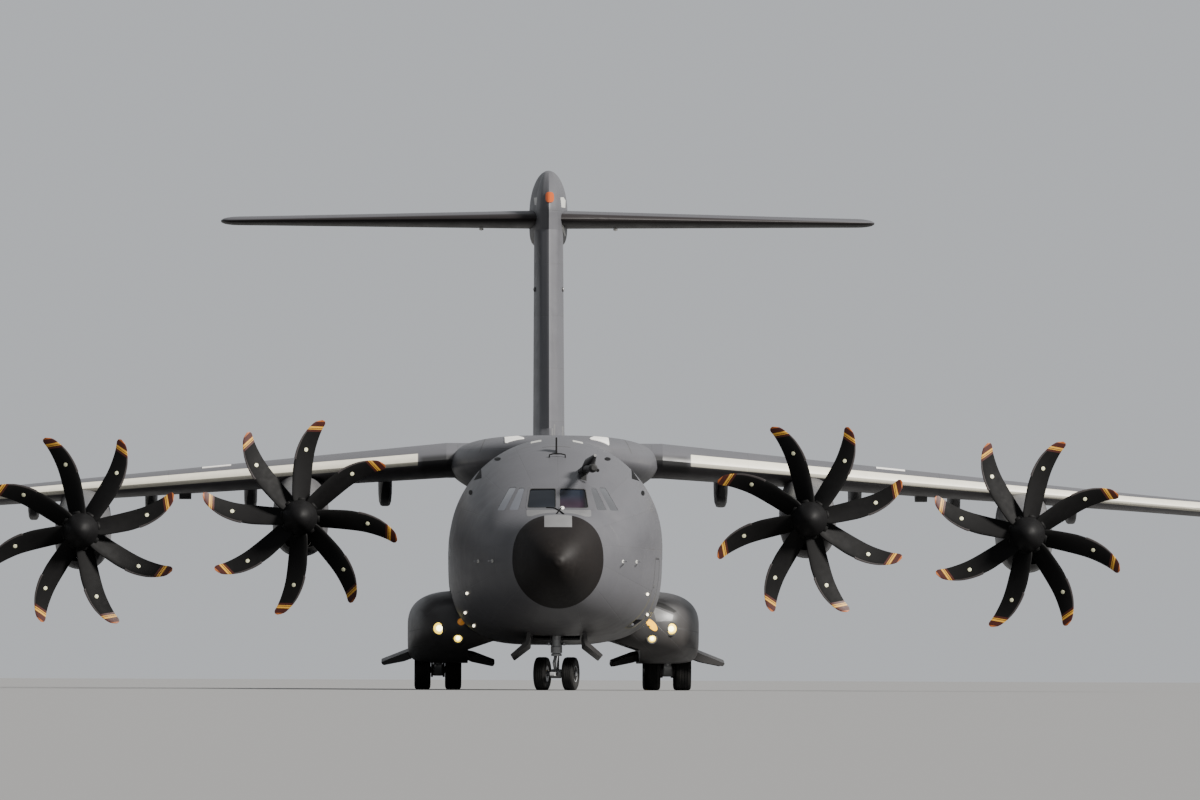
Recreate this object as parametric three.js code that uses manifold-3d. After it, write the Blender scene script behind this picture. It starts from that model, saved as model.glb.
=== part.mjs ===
// A four-engined military transport plane with a high wing, a T-tail and a rear cargo ramp, parked on its wheels.
// Every size below is a full-size metre. The finished group is scaled to a 1:2 model in millimetres.
// X points to port, Y points aft and Z points up. The ground is z = 0 and x = 0 is the plane of symmetry.
// A station is a distance aft of the nose tip.
import * as THREE from "three";
import { mergeVertices } from "three/addons/utils/BufferGeometryUtils.js";
import Module from "manifold-3d";

const wasm = await Module();
wasm.setup();

// Driving dimensions
const MODEL_SCALE = 0.5;
const LENGTH = 45.1;
const SEAT = 0.0007; // gap between two fixed pieces that touch
const CLEAR = 0.014; // gap beside a moving piece
const COVE = 0.03; // radial gap round a control surface's nose
const WALL = 0.14; // fuselage skin, frame and lining
const FLOOR_Z = 1.78; // top of the cargo floor
const FAR = 60; // longer than anything, for cutting blocks

const mmPerMetre = 1000 * MODEL_SCALE;
const stationY = (station) => station - LENGTH / 2;

// Colours and finishes
const paint = (color, roughness, metalness) => new THREE.MeshStandardMaterial({ color, roughness, metalness });
const GREY = paint(0x85878c, 0.5, 0.2);
const GREY_COMPOSITE = paint(0x808287, 0.55, 0.05);
const DARK_GREY = paint(0x55575b, 0.5, 0.1);
const BLACK_NOSE = paint(0x1d1b1c, 0.6, 0.0);
const BLADE_BLACK = paint(0x17171a, 0.5, 0.0);
const GLASS = paint(0x20262c, 0.08, 0.0);
const STEEL = paint(0xb9bcc0, 0.35, 0.8);
const ENGINE_METAL = paint(0x6f6a64, 0.6, 0.7);
const TYRE = paint(0x141414, 0.9, 0.0);
const FLOOR_METAL = paint(0x8d9195, 0.6, 0.4);
const INTERIOR = paint(0x4d5358, 0.8, 0.0);

// Solids: closed surfaces made from rings of points, with joins and cuts
function solidFromTriangles(points, triangles) {
  const build = (list) =>
    new wasm.Manifold(
      new wasm.Mesh({ numProp: 3, vertProperties: new Float32Array(points.flat()), triVerts: new Uint32Array(list) }),
    );
  const solid = build(triangles);
  if (solid.volume() > 0) return solid;
  const turned = [];
  for (let i = 0; i < triangles.length; i += 3) turned.push(triangles[i], triangles[i + 2], triangles[i + 1]);
  return build(turned);
}

function solidFromGeometry(geometry) {
  const bare = geometry.clone();
  bare.deleteAttribute("normal");
  bare.deleteAttribute("uv");
  const merged = mergeVertices(bare, 1e-5);
  const flat = Array.from(merged.attributes.position.array);
  const points = [];
  for (let i = 0; i < flat.length; i += 3) points.push(flat.slice(i, i + 3));
  const index = Array.from(merged.index.array);
  const triangles = [];
  for (let i = 0; i < index.length; i += 3) {
    const [a, b, c] = index.slice(i, i + 3);
    if (a !== b && b !== c && c !== a) triangles.push(a, b, c);
  }
  return solidFromTriangles(points, triangles);
}

function geometryOf(solid) {
  const mesh = solid.getMesh();
  const positions = new Float32Array(mesh.numVert * 3);
  for (let i = 0; i < mesh.numVert; i++)
    for (let k = 0; k < 3; k++) positions[3 * i + k] = mesh.vertProperties[mesh.numProp * i + k];
  const indexed = new THREE.BufferGeometry();
  indexed.setAttribute("position", new THREE.BufferAttribute(positions, 3));
  indexed.setIndex(new THREE.BufferAttribute(new Uint32Array(mesh.triVerts), 1));
  const geometry = indexed.toNonIndexed();
  geometry.computeVertexNormals();
  return geometry;
}

const join = (...solids) => solids.reduce((a, b) => a.add(b));
const cut = (solid, ...tools) => tools.reduce((a, b) => a.subtract(b), solid);
const common = (a, b) => a.intersect(b);

// A closed solid through rings of equally many points, each ring flat and square to one axis.
function loft(rings) {
  const count = rings[0].length;
  const points = rings.flat();
  const triangles = [];
  rings.slice(1).forEach((_, r) => {
    for (let i = 0; i < count; i++) {
      const a = r * count + i;
      const b = r * count + ((i + 1) % count);
      triangles.push(a, b, b + count, a, b + count, a + count);
    }
  });
  const ends = [
    [rings[0], 0, true],
    [rings[rings.length - 1], (rings.length - 1) * count, false],
  ];
  for (const [ring, offset, reversed] of ends) {
    for (const face of THREE.ShapeUtils.triangulateShape(flatten(ring), [])) {
      const [a, b, c] = face.map((i) => i + offset);
      triangles.push(...(reversed === sameSense(ring) ? [a, c, b] : [a, b, c]));
    }
  }
  return solidFromTriangles(points, triangles);
}

// The two coordinates in which a flat ring spreads most.
function flatten(ring) {
  const spread = [0, 1, 2].map((k) => Math.max(...ring.map((p) => p[k])) - Math.min(...ring.map((p) => p[k])));
  const dropped = spread.indexOf(Math.min(...spread));
  const [u, v] = [0, 1, 2].filter((k) => k !== dropped);
  return ring.map((p) => new THREE.Vector2(p[u], p[v]));
}

const sameSense = (ring) => THREE.ShapeUtils.area(flatten(ring)) > 0;

const box = (x1, x2, s1, s2, z1, z2) =>
  loft([stationY(s1), stationY(s2)].map((y) => [[x1, y, z1], [x2, y, z1], [x2, y, z2], [x1, y, z2]]));

// Outlines of [x, z], [station, z] or [x, station] points, swept along the third direction.
const frontPrism = (outline, s1, s2) => loft([s1, s2].map((s) => outline.map(([x, z]) => [x, stationY(s), z])));
const sidePrism = (outline, x1, x2) => loft([x1, x2].map((x) => outline.map(([s, z]) => [x, stationY(s), z])));
const planPrism = (outline, z1, z2) => loft([z1, z2].map((z) => outline.map(([x, s]) => [x, stationY(s), z])));

// A round bar or cone between two points given as [x, station, z].
function bar(from, to, radius, sides = 12, endRadius = radius) {
  const a = new THREE.Vector3(from[0], stationY(from[1]), from[2]);
  const b = new THREE.Vector3(to[0], stationY(to[1]), to[2]);
  const geometry = new THREE.CylinderGeometry(endRadius, radius, a.distanceTo(b), sides);
  const along = b.clone().sub(a).normalize();
  const turn = new THREE.Quaternion().setFromUnitVectors(new THREE.Vector3(0, 1, 0), along);
  geometry.applyQuaternion(turn).translate(...a.add(b).multiplyScalar(0.5).toArray());
  return solidFromGeometry(geometry);
}

// A solid of revolution about a fore-and-aft axis or a cross axis, from [distance along, radius] points.
function turned(profile, sides, direction, centre) {
  const geometry = new THREE.LatheGeometry(profile.map(([along, r]) => new THREE.Vector2(r, along)), sides);
  const turn = new THREE.Quaternion().setFromUnitVectors(new THREE.Vector3(0, 1, 0), new THREE.Vector3(...direction));
  geometry.rotateY(Math.PI / sides).applyQuaternion(turn).translate(centre[0], stationY(centre[1]), centre[2]);
  return solidFromGeometry(geometry);
}

// Straight-line reading of a table whose first column rises.
function readTable(table, at) {
  const last = table.length - 1;
  const i = Math.min(Math.max(table.findIndex((row) => row[0] > at) - 1, 0), last - 1);
  const row = table.findIndex((r) => r[0] > at) < 0 ? last - 1 : i;
  const share = Math.min(Math.max((at - table[row][0]) / (table[row + 1][0] - table[row][0]), 0), 1);
  return table[row].map((value, k) => value + share * (table[row + 1][k] - value));
}

// A ring that is an ellipse above its widest line and squarer below it.
function ovalRing(centre, halfWidth, up, down, power, station, segments, upPower = 2) {
  const corner = (value, n) => Math.sign(value) * Math.abs(value) ** (2 / n);
  const ring = [];
  for (let i = 0; i < segments; i++) {
    const angle = (2 * Math.PI * i) / segments;
    const above = Math.sin(angle) >= 0;
    const n = above ? upPower : power;
    ring.push([
      centre[0] + halfWidth * corner(Math.cos(angle), n),
      stationY(station),
      centre[1] + (above ? up : down) * corner(Math.sin(angle), n),
    ]);
  }
  return ring;
}

// Fuselage: station, height of the widest line, half width, rise above it, drop below it, lower squareness
const HULL = [
  [0.0, 3.33, 0.04, 0.04, 0.04, 2.0],
  [0.12, 3.335, 0.24, 0.23, 0.24, 2.0],
  [0.45, 3.345, 0.56, 0.54, 0.57, 2.0],
  [1.0, 3.36, 0.88, 0.87, 0.91, 2.0],
  [1.7, 3.38, 1.19, 1.2, 1.25, 2.0],
  [2.2, 3.45, 1.52, 1.23, 1.52, 2.1],
  [2.7, 3.52, 1.8, 1.27, 1.74, 2.3],
  [3.1, 3.57, 1.97, 1.52, 1.88, 2.4],
  [3.5, 3.61, 2.11, 1.76, 1.99, 2.5],
  [4.1, 3.66, 2.29, 1.95, 2.12, 2.7],
  [4.8, 3.71, 2.45, 2.15, 2.26, 2.9],
  [5.6, 3.76, 2.6, 2.36, 2.39, 3.1],
  [6.6, 3.81, 2.72, 2.58, 2.51, 3.3],
  [7.8, 3.84, 2.79, 2.75, 2.59, 3.45],
  [9.2, 3.85, 2.82, 2.82, 2.62, 3.5],
  [26.9, 3.85, 2.82, 2.82, 2.62, 3.5],
  [28.6, 3.93, 2.81, 2.74, 2.42, 3.4],
  [31.0, 4.13, 2.7, 2.53, 1.98, 3.1],
  [34.0, 4.46, 2.38, 2.18, 1.48, 2.7],
  [37.0, 4.9, 1.87, 1.71, 1.05, 2.4],
  [40.0, 5.35, 1.22, 1.14, 0.63, 2.2],
  [42.3, 5.72, 0.58, 0.56, 0.35, 2.0],
  [43.1, 5.86, 0.14, 0.16, 0.1, 2.0],
];
const HULL_SEGMENTS = 28;
const LINING_SEGMENTS = 16;
const LINING_ROWS = [1, 3, 5, 8, 10, 13, 14, 15, 17, 19, 21]; // rows of the table that shape the inside
const RADOME_END = 1.7;
const FORWARD_END = 9.2;
const CENTRE_END = 26.9;

// The fuselage between two stations, made thicker or thinner all round.
function hull(s1, s2, grow = 0) {
  const lining = grow <= -WALL;
  const wide = lining ? LINING_ROWS.map((i) => HULL[i]) : HULL;
  const segments = lining ? LINING_SEGMENTS : HULL_SEGMENTS;
  const rings = wide.map(([s, height, halfWidth, up, down, power]) =>
    ovalRing([0, height], halfWidth + grow, up + grow, down + grow, power, s, segments),
  );
  const first = Math.max(wide.findIndex((row) => row[0] > s1) - 1, 0);
  const after = wide.findIndex((row) => row[0] >= s2);
  const last = after < 0 ? wide.length - 1 : after;
  const body = loft(rings.slice(first, last + 1));
  return body.trimByPlane([0, 1, 0], stationY(s1)).trimByPlane([0, -1, 0], -stationY(s2));
}

const radome = () => hull(0, RADOME_END);

// Windscreen and side windows, drawn as seen from the front: [x, z] corners, for the port side
const WINDOWS = [
  [[0.06, 4.78], [0.81, 4.78], [0.73, 5.28], [0.06, 5.29]],
  [[1.03, 4.69], [1.3, 4.69], [1.0, 5.3], [0.85, 5.3]],
  [[1.39, 4.68], [1.61, 4.68], [1.25, 5.32], [1.06, 5.32]],
];
const WINDOW_END = 4.7;
const GLAZING_BOX = [-1.86, 1.86, 2.4, WINDOW_END, 4.62, 5.4];
const POST_DEPTH = 0.05;
const GLASS_DEPTH = 0.035;

// Nose gear bay
const BAY = { halfWidth: 0.62, front: 4.35, back: 6.25, roof: 2.35, wall: 0.08 };

// Flat pads for lifting jacks, under the nose and the main gear fairings
const JACK_PAD = { radius: 0.1, nose: [0, 8.5, 1.2], side: [2.9, 15.2, 0.7], height: 0.16 };

function jackPad([x, station, bottom]) {
  return bar([x, station, bottom], [x, station, bottom + JACK_PAD.height], JACK_PAD.radius, 12);
}

// Crew door in the port side, hinged along its sill
const CREW_DOOR = { front: 5.55, back: 6.45, sill: 1.68, top: 3.45, hingeX: 2.0, hingeZ: 1.74, pin: 0.035 };

function doorHole(door, grow, x1, x2) {
  return box(x1, x2, door.front - grow, door.back + grow, door.sill - grow, door.top + grow);
}

function forwardFuselage() {
  const bayOuter = common(
    box(-BAY.halfWidth - BAY.wall, BAY.halfWidth + BAY.wall, BAY.front - BAY.wall, BAY.back + BAY.wall, 0, BAY.roof + BAY.wall),
    hull(RADOME_END, FORWARD_END, -0.05),
  );
  const bayInner = box(-BAY.halfWidth, BAY.halfWidth, BAY.front, BAY.back, 0, BAY.roof);
  const shell = cut(hull(RADOME_END + SEAT, FORWARD_END), hull(RADOME_END + WALL, FORWARD_END + 1, -WALL));
  const glazingZone = common(box(...GLAZING_BOX), hull(2, 6, -POST_DEPTH));
  const holes = WINDOWS.flatMap((pane) => [
    frontPrism(pane, 2.2, WINDOW_END),
    frontPrism(pane.map(([x, z]) => [-x, z]), 2.2, WINDOW_END),
  ]);
  const body = join(shell, bayOuter, jackPad(JACK_PAD.nose));
  return cut(body, bayInner, glazingZone, ...holes, doorHole(CREW_DOOR, CLEAR, 1, 3.5));
}

function cockpitGlazing() {
  const [x1, x2, s1, s2, z1, z2] = GLAZING_BOX;
  const zone = box(x1 + SEAT, x2 - SEAT, s1, s2 - SEAT, z1 + SEAT, z2 - SEAT);
  const skin = cut(hull(2, 6, -POST_DEPTH - SEAT), hull(1.9, 6.1, -POST_DEPTH - GLASS_DEPTH));
  return common(zone, skin);
}

function crewDoor() {
  const shell = cut(hull(RADOME_END, FORWARD_END), hull(RADOME_END + WALL, FORWARD_END + 1, -WALL));
  const { front, back, pin, hingeX, hingeZ } = CREW_DOOR;
  const reach = CLEAR - SEAT;
  const pins = bar([hingeX, front - reach, hingeZ], [hingeX, back + reach, hingeZ], pin, 8);
  const lowerEdge = box(hingeX, 3.5, front - 1, back + 1, 0, hingeZ + 0.06);
  return join(cut(common(shell, doorHole(CREW_DOOR, 0, 1, 3.5)), lowerEdge), pins);
}

// Flight deck: floor, rear bulkhead with a doorway, instrument panel, console and two seats in one piece
const DECK = { floor: 3.42, underside: 3.3, inside: 3.37, front: 2.7, back: 6.4, wall: 0.1, doorway: 0.38, doorTop: 5.3 };
const PANEL = { halfWidth: 1.15, outline: [[3.2, 3.37], [3.5, 3.37], [3.62, 4.1], [3.5, 4.42], [3.22, 4.42]] };
const CONSOLE = { halfWidth: 0.22, front: 3.4, back: 4.5, top: 3.95 };
const PILOT_SEAT = {
  x: 0.64,
  foot: { halfWidth: 0.12, front: 4.35, back: 4.75 },
  pan: { halfWidth: 0.26, front: 4.2, back: 4.78, bottom: 3.7, top: 3.86 },
  back: { halfWidth: 0.25, outline: [[4.66, 3.8], [4.78, 3.8], [4.98, 4.75], [4.86, 4.78]] },
};

function pilotSeat(x) {
  const { foot, pan, back } = PILOT_SEAT;
  return join(
    box(x - foot.halfWidth, x + foot.halfWidth, foot.front, foot.back, DECK.inside, pan.bottom + 0.05),
    box(x - pan.halfWidth, x + pan.halfWidth, pan.front, pan.back, pan.bottom, pan.top),
    sidePrism(back.outline, x - back.halfWidth, x + back.halfWidth),
  );
}

function flightDeck() {
  const { floor, underside, inside, front, back, wall, doorway, doorTop } = DECK;
  const slab = box(-3, 3, front, back, underside, floor);
  const besideDoor = box(CREW_DOOR.hingeX + 0.2, 3, CREW_DOOR.front - 0.04, CREW_DOOR.back + 0.04, 0, CREW_DOOR.top + 0.04);
  const bulkhead = cut(box(-3, 3, back - wall, back, underside, 7), box(-doorway, doorway, back - 1, back + 1, floor, doorTop));
  const fitted = common(join(slab, bulkhead), hull(RADOME_END + 0.2, FORWARD_END, -WALL - SEAT));
  const panel = sidePrism(PANEL.outline, -PANEL.halfWidth, PANEL.halfWidth);
  const middle = box(-CONSOLE.halfWidth, CONSOLE.halfWidth, CONSOLE.front, CONSOLE.back, inside, CONSOLE.top);
  return join(cut(fitted, besideDoor), panel, middle, pilotSeat(PILOT_SEAT.x), pilotSeat(-PILOT_SEAT.x));
}

const CARGO_FLOOR_FRONT = 5.35;
const RAMP = { hingeStation: 27.62, hingeZ: 1.44, noseRadius: 0.17, back: 32.9, halfWidth: 1.9, pin: 0.06 };

function cargoFloor() {
  const back = RAMP.hingeStation - RAMP.noseRadius - CLEAR;
  const inside = hull(CARGO_FLOOR_FRONT, back, -WALL - SEAT);
  const bay = box(-BAY.halfWidth - BAY.wall - SEAT, BAY.halfWidth + BAY.wall + SEAT, 3, BAY.back + BAY.wall + SEAT, 0, 3);
  const step = box(CREW_DOOR.hingeX - 0.7, 3, CREW_DOOR.front - 0.04, CREW_DOOR.back + 0.04, 0, 3);
  return cut(common(inside, box(-3, 3, 0, 40, 0, FLOOR_Z)), bay, step);
}

// Wing: distance from the centreline, leading edge station, chord, thickness, height of the chord line
const WING_ROOT = 2.9;
const WING_TIP = 21.2;
const WING = [
  [0, 14.6, 7.1, 0.94, 6.17],
  [WING_ROOT, 14.6, 7.1, 0.94, 6.17],
  [9.5, 16.745, 5.55, 0.7, 5.639],
  [15.4, 18.66, 4.138, 0.487, 5.164],
  [20.7, 20.385, 2.87, 0.33, 4.737],
  [21.05, 20.62, 2.55, 0.2, 4.709],
  [WING_TIP, 20.9, 2.1, 0.07, 4.697],
];
const AEROFOIL = [1, 0.6, 0.32, 0.14, 0.035]; // shares of the chord where the outline has a point
const TRAILING_EDGE = 0.014;

// Half thickness of a symmetric aerofoil at a share of its chord, as a share of its thickness.
function halfThickness(share) {
  const polynomial = 0.2969 * Math.sqrt(share) - 0.126 * share - 0.3516 * share ** 2 + 0.2843 * share ** 3 - 0.1015 * share ** 4;
  return 5 * polynomial;
}

function aerofoil(front, chord, thickness, grow = 0) {
  const side = (share) => [
    front + share * chord + (share === 1 ? grow : 0),
    thickness * halfThickness(share) + (share === 1 ? TRAILING_EDGE : 0) + grow,
  ];
  const upper = AEROFOIL.map(side);
  const lower = AEROFOIL.map(side).reverse().map(([s, t]) => [s, -t]);
  return [...upper, [front - grow, 0], ...lower];
}

function wingRing(x, grow = 0) {
  const [, front, chord, thickness, height] = readTable(WING, x);
  return aerofoil(front, chord, thickness, grow).map(([s, t]) => [x, stationY(s), height + t]);
}

function wingSolid(x1, x2, grow = 0) {
  const between = WING.map((row) => row[0]).filter((x) => x > x1 + 0.01 && x < x2 - 0.01);
  return loft([x1, ...between, x2].map((x) => wingRing(x, grow)));
}

const wingBox = () => loft([-WING_ROOT + SEAT, WING_ROOT - SEAT].map((x) => wingRing(Math.abs(x)).map((p) => [x, p[1], p[2]])));
const wingBoxHole = (reach) => loft([-reach, reach].map((x) => wingRing(0, SEAT).map((p) => [x, p[1], p[2]])));

function placeFrame(from, to, aft) {
  const a = new THREE.Vector3(from[0], stationY(from[1]), from[2]);
  const b = new THREE.Vector3(to[0], stationY(to[1]), to[2]);
  const along = b.clone().sub(a).normalize();
  const up = along.clone().cross(new THREE.Vector3(...aft)).normalize();
  const back = up.clone().cross(along);
  return { matrix: new THREE.Matrix4().makeBasis(along, back, up).setPosition(a), length: a.distanceTo(b) };
}

// A block in a hinge frame: along the hinge, aft of it, and above it.
function hingeBlock(frame, x1, x2, y1, y2, z1, z2) {
  const geometry = new THREE.BoxGeometry(x2 - x1, y2 - y1, z2 - z1);
  geometry.translate((x1 + x2) / 2, (y1 + y2) / 2, (z1 + z2) / 2).applyMatrix4(frame.matrix);
  return solidFromGeometry(geometry);
}

function hingeCone(frame, x1, x2, radius1, radius2, sides = 12) {
  const geometry = new THREE.CylinderGeometry(radius2, radius1, x2 - x1, sides);
  geometry.rotateZ(-Math.PI / 2).translate((x1 + x2) / 2, 0, 0).applyMatrix4(frame.matrix);
  return solidFromGeometry(geometry);
}

// Splits a control surface with a round nose off a body: [what stays, the surface].
function splitControl(body, hinge) {
  const frame = placeFrame(hinge.from, hinge.to, hinge.aft);
  const [r1, r2] = hinge.radii;
  const end = frame.length;
  const nose = hingeCone(frame, 0, end, r1, r2);
  const region = join(hingeBlock(frame, 0, end, 0, hinge.reach, -FAR, FAR), nose);
  const hole = join(
    hingeBlock(frame, -CLEAR, end + CLEAR, 0, hinge.reach, -FAR, FAR),
    hingeCone(frame, -CLEAR, end + CLEAR, r1 + COVE, r2 + COVE),
  );
  const pinReach = CLEAR - SEAT;
  const pins = [
    hingeCone(frame, -pinReach, 0.1, hinge.pin, hinge.pin, 8),
    hingeCone(frame, end - 0.1, end + pinReach, hinge.pin, hinge.pin, 8),
  ];
  const moving = common(body, region);
  return [cut(body, hole), join(moving, ...pins)];
}

// Flaps turn on a line below the wing: inner and outer end, and where the pods stand
const FLAP_FRONT = 0.75; // share of the chord
const HINGE_DROP = 0.105; // share of the chord below the chord line
const POD_DROP = 0.15;
const FLAPS = {
  inner: { from: 3.8, to: 9.4, pods: [4.55, 8.2] },
  outer: { from: 9.62, to: 15.25, pods: [10.9, 14.1] },
};
const LAP_RADIUS = 0.17; // round ends of the two hinge plates
const AILERON = { from: 15.5, to: 20.45, share: 0.74 };

function chordPoint(x, share, drop = 0) {
  const [, front, chord, , height] = readTable(WING, x);
  return [x, front + share * chord, height - drop * chord];
}

// Pod under a flap: share of chord, half width, rise above and drop below a line under the wing
const POD = [
  [0.36, 0.03, 0.02, 0.02],
  [0.52, 0.15, 0.09, 0.36],
  [0.75, 0.17, 0.14, 0.6],
  [0.94, 0.13, 0.15, 0.44],
  [1.1, 0.03, 0.02, 0.1],
];
const POD_LINE = 0.4; // of the wing's half thickness, below the chord line
const POD_SIZED_FOR = 6.7; // chord for which the pod table holds

function flapPod(x) {
  const [, front, chord, thickness, height] = readTable(WING, x);
  const size = chord / POD_SIZED_FOR;
  return loft(
    POD.map(([share, halfWidth, up, down]) => {
      const line = height - thickness * Math.max(halfThickness(Math.min(share, 1)), 0.04) * POD_LINE;
      const deep = down * size + (share > 0.4 && share < 1.05 ? (POD_DROP * chord - 0.75 * size) * (down / 0.6) : 0);
      return ovalRing([x, line], halfWidth * Math.sqrt(size), up * size, deep + 0.12 * size, 3, front + share * chord, 6, 2);
    }),
  );
}

// Takes a flap with its moving half pods out of the wing: [what stays, the flap].
function splitFlap(wing, flap) {
  const frame = placeFrame(
    chordPoint(flap.from, FLAP_FRONT, HINGE_DROP),
    chordPoint(flap.to, FLAP_FRONT, HINGE_DROP),
    [0, 1, 0],
  );
  const end = frame.length;
  const reach = 4;
  const hole = hingeBlock(frame, -CLEAR, end + CLEAR, -CLEAR, reach, -1, 3);
  let fixed = cut(wing, hole);
  let moving = common(wing, hingeBlock(frame, 0, end, 0, reach, -1, 3));
  for (const x of flap.pods) {
    const pod = flapPod(x);
    const lap = ((x - flap.from) / (flap.to - flap.from)) * end;
    const keep = LAP_RADIUS + CLEAR;
    const front = cut(pod, hingeBlock(frame, -5, end + 5, -keep, 5, -3, 3));
    const back = cut(pod, hingeBlock(frame, -5, end + 5, -5, keep, -3, 3));
    const disc = (x1, x2) => common(pod, hingeCone(frame, x1, x2, LAP_RADIUS, LAP_RADIUS, 8));
    const frontPlate = common(pod, hingeBlock(frame, lap - 1, lap - SEAT / 2, -keep - 0.02, 0, -LAP_RADIUS, LAP_RADIUS));
    const backPlate = common(pod, hingeBlock(frame, lap + SEAT / 2, lap + 1, 0, keep + 0.02, -LAP_RADIUS, LAP_RADIUS));
    fixed = join(fixed, front, frontPlate, disc(lap - 1, lap - SEAT / 2));
    moving = join(moving, back, backPlate, disc(lap + SEAT / 2, lap + 1));
  }
  return [fixed, moving];
}

// Flat pad under the wing between the engines, for a pod
const HARDPOINT = { x: 9.95, halfWidth: 0.16, front: 0.22, back: 0.52, bottom: 5.12 };

function hardpoint() {
  const { x, halfWidth, front, back, bottom } = HARDPOINT;
  const [, edge, chord, , height] = readTable(WING, x);
  const ends = [edge + front * chord, edge + back * chord];
  const outline = [
    [ends[0], height],
    [ends[0] + 0.3, bottom],
    [ends[1] - 0.5, bottom],
    [ends[1], height],
  ];
  return sidePrism(outline, x - halfWidth, x + halfWidth);
}

function wingPieces() {
  const skin = join(wingSolid(WING_ROOT + SEAT, WING_TIP), hardpoint());
  const [withoutInner, flapInner] = splitFlap(skin, FLAPS.inner);
  const [withoutFlaps, flapOuter] = splitFlap(withoutInner, FLAPS.outer);
  const radiusAt = (x) => readTable(WING, x)[3] * halfThickness(AILERON.share);
  const [wing, aileron] = splitControl(withoutFlaps, {
    from: chordPoint(AILERON.from, AILERON.share),
    to: chordPoint(AILERON.to, AILERON.share),
    aft: [0, 1, 0],
    radii: [radiusAt(AILERON.from), radiusAt(AILERON.to)],
    reach: 3,
    pin: 0.035,
  });
  return { wing, flapInner, flapOuter, aileron };
}

// Fairing over the wing's middle: station, height of the widest line, half width, rise, drop
const FAIRING = [
  [9.9, 6.3, 0.9, 0.36, 0.5],
  [10.8, 6.12, 1.72, 0.6, 0.75],
  [12.2, 6.02, 2.32, 0.74, 0.95],
  [13.8, 5.97, 2.66, 0.84, 1.1],
  [16.0, 5.95, 2.82, 0.89, 1.15],
  [21.0, 5.95, 2.82, 0.88, 1.15],
  [23.2, 6.0, 2.6, 0.81, 1.0],
  [25.2, 6.18, 1.95, 0.6, 0.7],
  [26.6, 6.4, 1.0, 0.3, 0.4],
];

function wingFairing() {
  const hump = loft(FAIRING.map(([s, z, w, up, down]) => ovalRing([0, z], w, up, down, 2.2, s, 20, 2.9)));
  const wings = [1, -1].map((side) =>
    loft([0, 2.9, 4.5].map((x) => wingRing(x, SEAT).map((p) => [side * p[0], p[1], p[2]]))),
  );
  return cut(hump, hull(FORWARD_END - 1, 30, SEAT), ...wings, wingBoxHole(3));
}

// Paratroop doors, one each side, fixed shut
const SIDE_DOOR = { front: 25.5, back: 26.45, sill: 1.72, top: 3.75 };

function centreFuselage() {
  const shell = cut(hull(FORWARD_END + SEAT, CENTRE_END), hull(FORWARD_END - 1, CENTRE_END + 1, -WALL));
  const doors = [1, -1].map((side) => doorHole(SIDE_DOOR, SEAT, Math.min(side, side * 4), Math.max(side, side * 4)));
  return cut(shell, wingBoxHole(4), ...doors);
}

function sideDoor() {
  const shell = cut(hull(FORWARD_END, CENTRE_END), hull(FORWARD_END - 1, CENTRE_END + 1, -WALL));
  return common(shell, doorHole(SIDE_DOOR, 0, 1, 4));
}

// Cargo door behind the ramp: it turns up into the tail about its aft edge
const CARGO_DOOR = { front: 32.95, back: 38.1, frontHalf: 1.78, backHalf: 1.12, hingeStation: 38.02, hingeZ: 4.42, pin: 0.05 };
const AFT_CAVITY_END = 40.6;

// Height of the underside of the fuselage at a station.
const bellyAt = (station) => {
  const row = readTable(HULL, station);
  return row[1] - row[4];
};
const RAMP_EDGE = { height: 0.34, lean: 0.14, clear: 0.6 }; // free edge of the ramp, which leans forward as it rises

function rampPrism(grow) {
  const { hingeStation, back, halfWidth } = RAMP;
  const outline = [
    [hingeStation, 0],
    [back + grow, 0],
    [back + grow, bellyAt(back)],
    [back - RAMP_EDGE.lean + grow, bellyAt(back) + RAMP_EDGE.height + 1.5 * grow],
    [hingeStation, FLOOR_Z + 1.5 * grow],
  ];
  return sidePrism(outline, -halfWidth - grow, halfWidth + grow);
}

function cargoRamp() {
  const { hingeStation, hingeZ, noseRadius, halfWidth, pin } = RAMP;
  const body = common(rampPrism(0), hull(CENTRE_END - 1, 40));
  const nose = common(
    bar([-halfWidth, hingeStation, hingeZ], [halfWidth, hingeStation, hingeZ], noseRadius, 24),
    hull(CENTRE_END - 1, 40),
  );
  const reach = halfWidth + CLEAR - SEAT;
  const pins = bar([-reach, hingeStation, hingeZ + 0.1], [reach, hingeStation, hingeZ + 0.1], pin, 8);
  return join(body, nose, common(pins, hull(CENTRE_END - 1, 40, -0.02)));
}

// Half the width of the hole for the door at a station.
function cargoDoorHalf(station) {
  const { front, back, frontHalf, backHalf } = CARGO_DOOR;
  const share = (station - front + CLEAR) / (back - front + 2 * CLEAR);
  return frontHalf + CLEAR + share * (backHalf - frontHalf);
}

function cargoDoorPrism(grow) {
  const { front, back, frontHalf, backHalf } = CARGO_DOOR;
  const outline = [
    [-frontHalf - grow, front - grow],
    [frontHalf + grow, front - grow],
    [backHalf + grow, back + grow],
    [-backHalf - grow, back + grow],
  ];
  return planPrism(outline, 0, 4.75);
}

function aftShell() {
  return cut(hull(CENTRE_END + SEAT, 43.1), hull(CENTRE_END - 1, AFT_CAVITY_END, -WALL));
}

function cargoDoor() {
  const { hingeStation, hingeZ, pin } = CARGO_DOOR;
  const z = hingeZ;
  const reach = cargoDoorHalf(hingeStation + pin) - SEAT;
  const upperEdge = box(-3, 3, hingeStation, hingeStation + 1, z, z + 1);
  const panel = cut(common(aftShell(), cargoDoorPrism(0)), upperEdge);
  const pins = [-1, 1].map((side) => bar([side * 0.95, hingeStation, z], [side * reach, hingeStation, z], pin, 8));
  return join(panel, ...pins);
}

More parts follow.
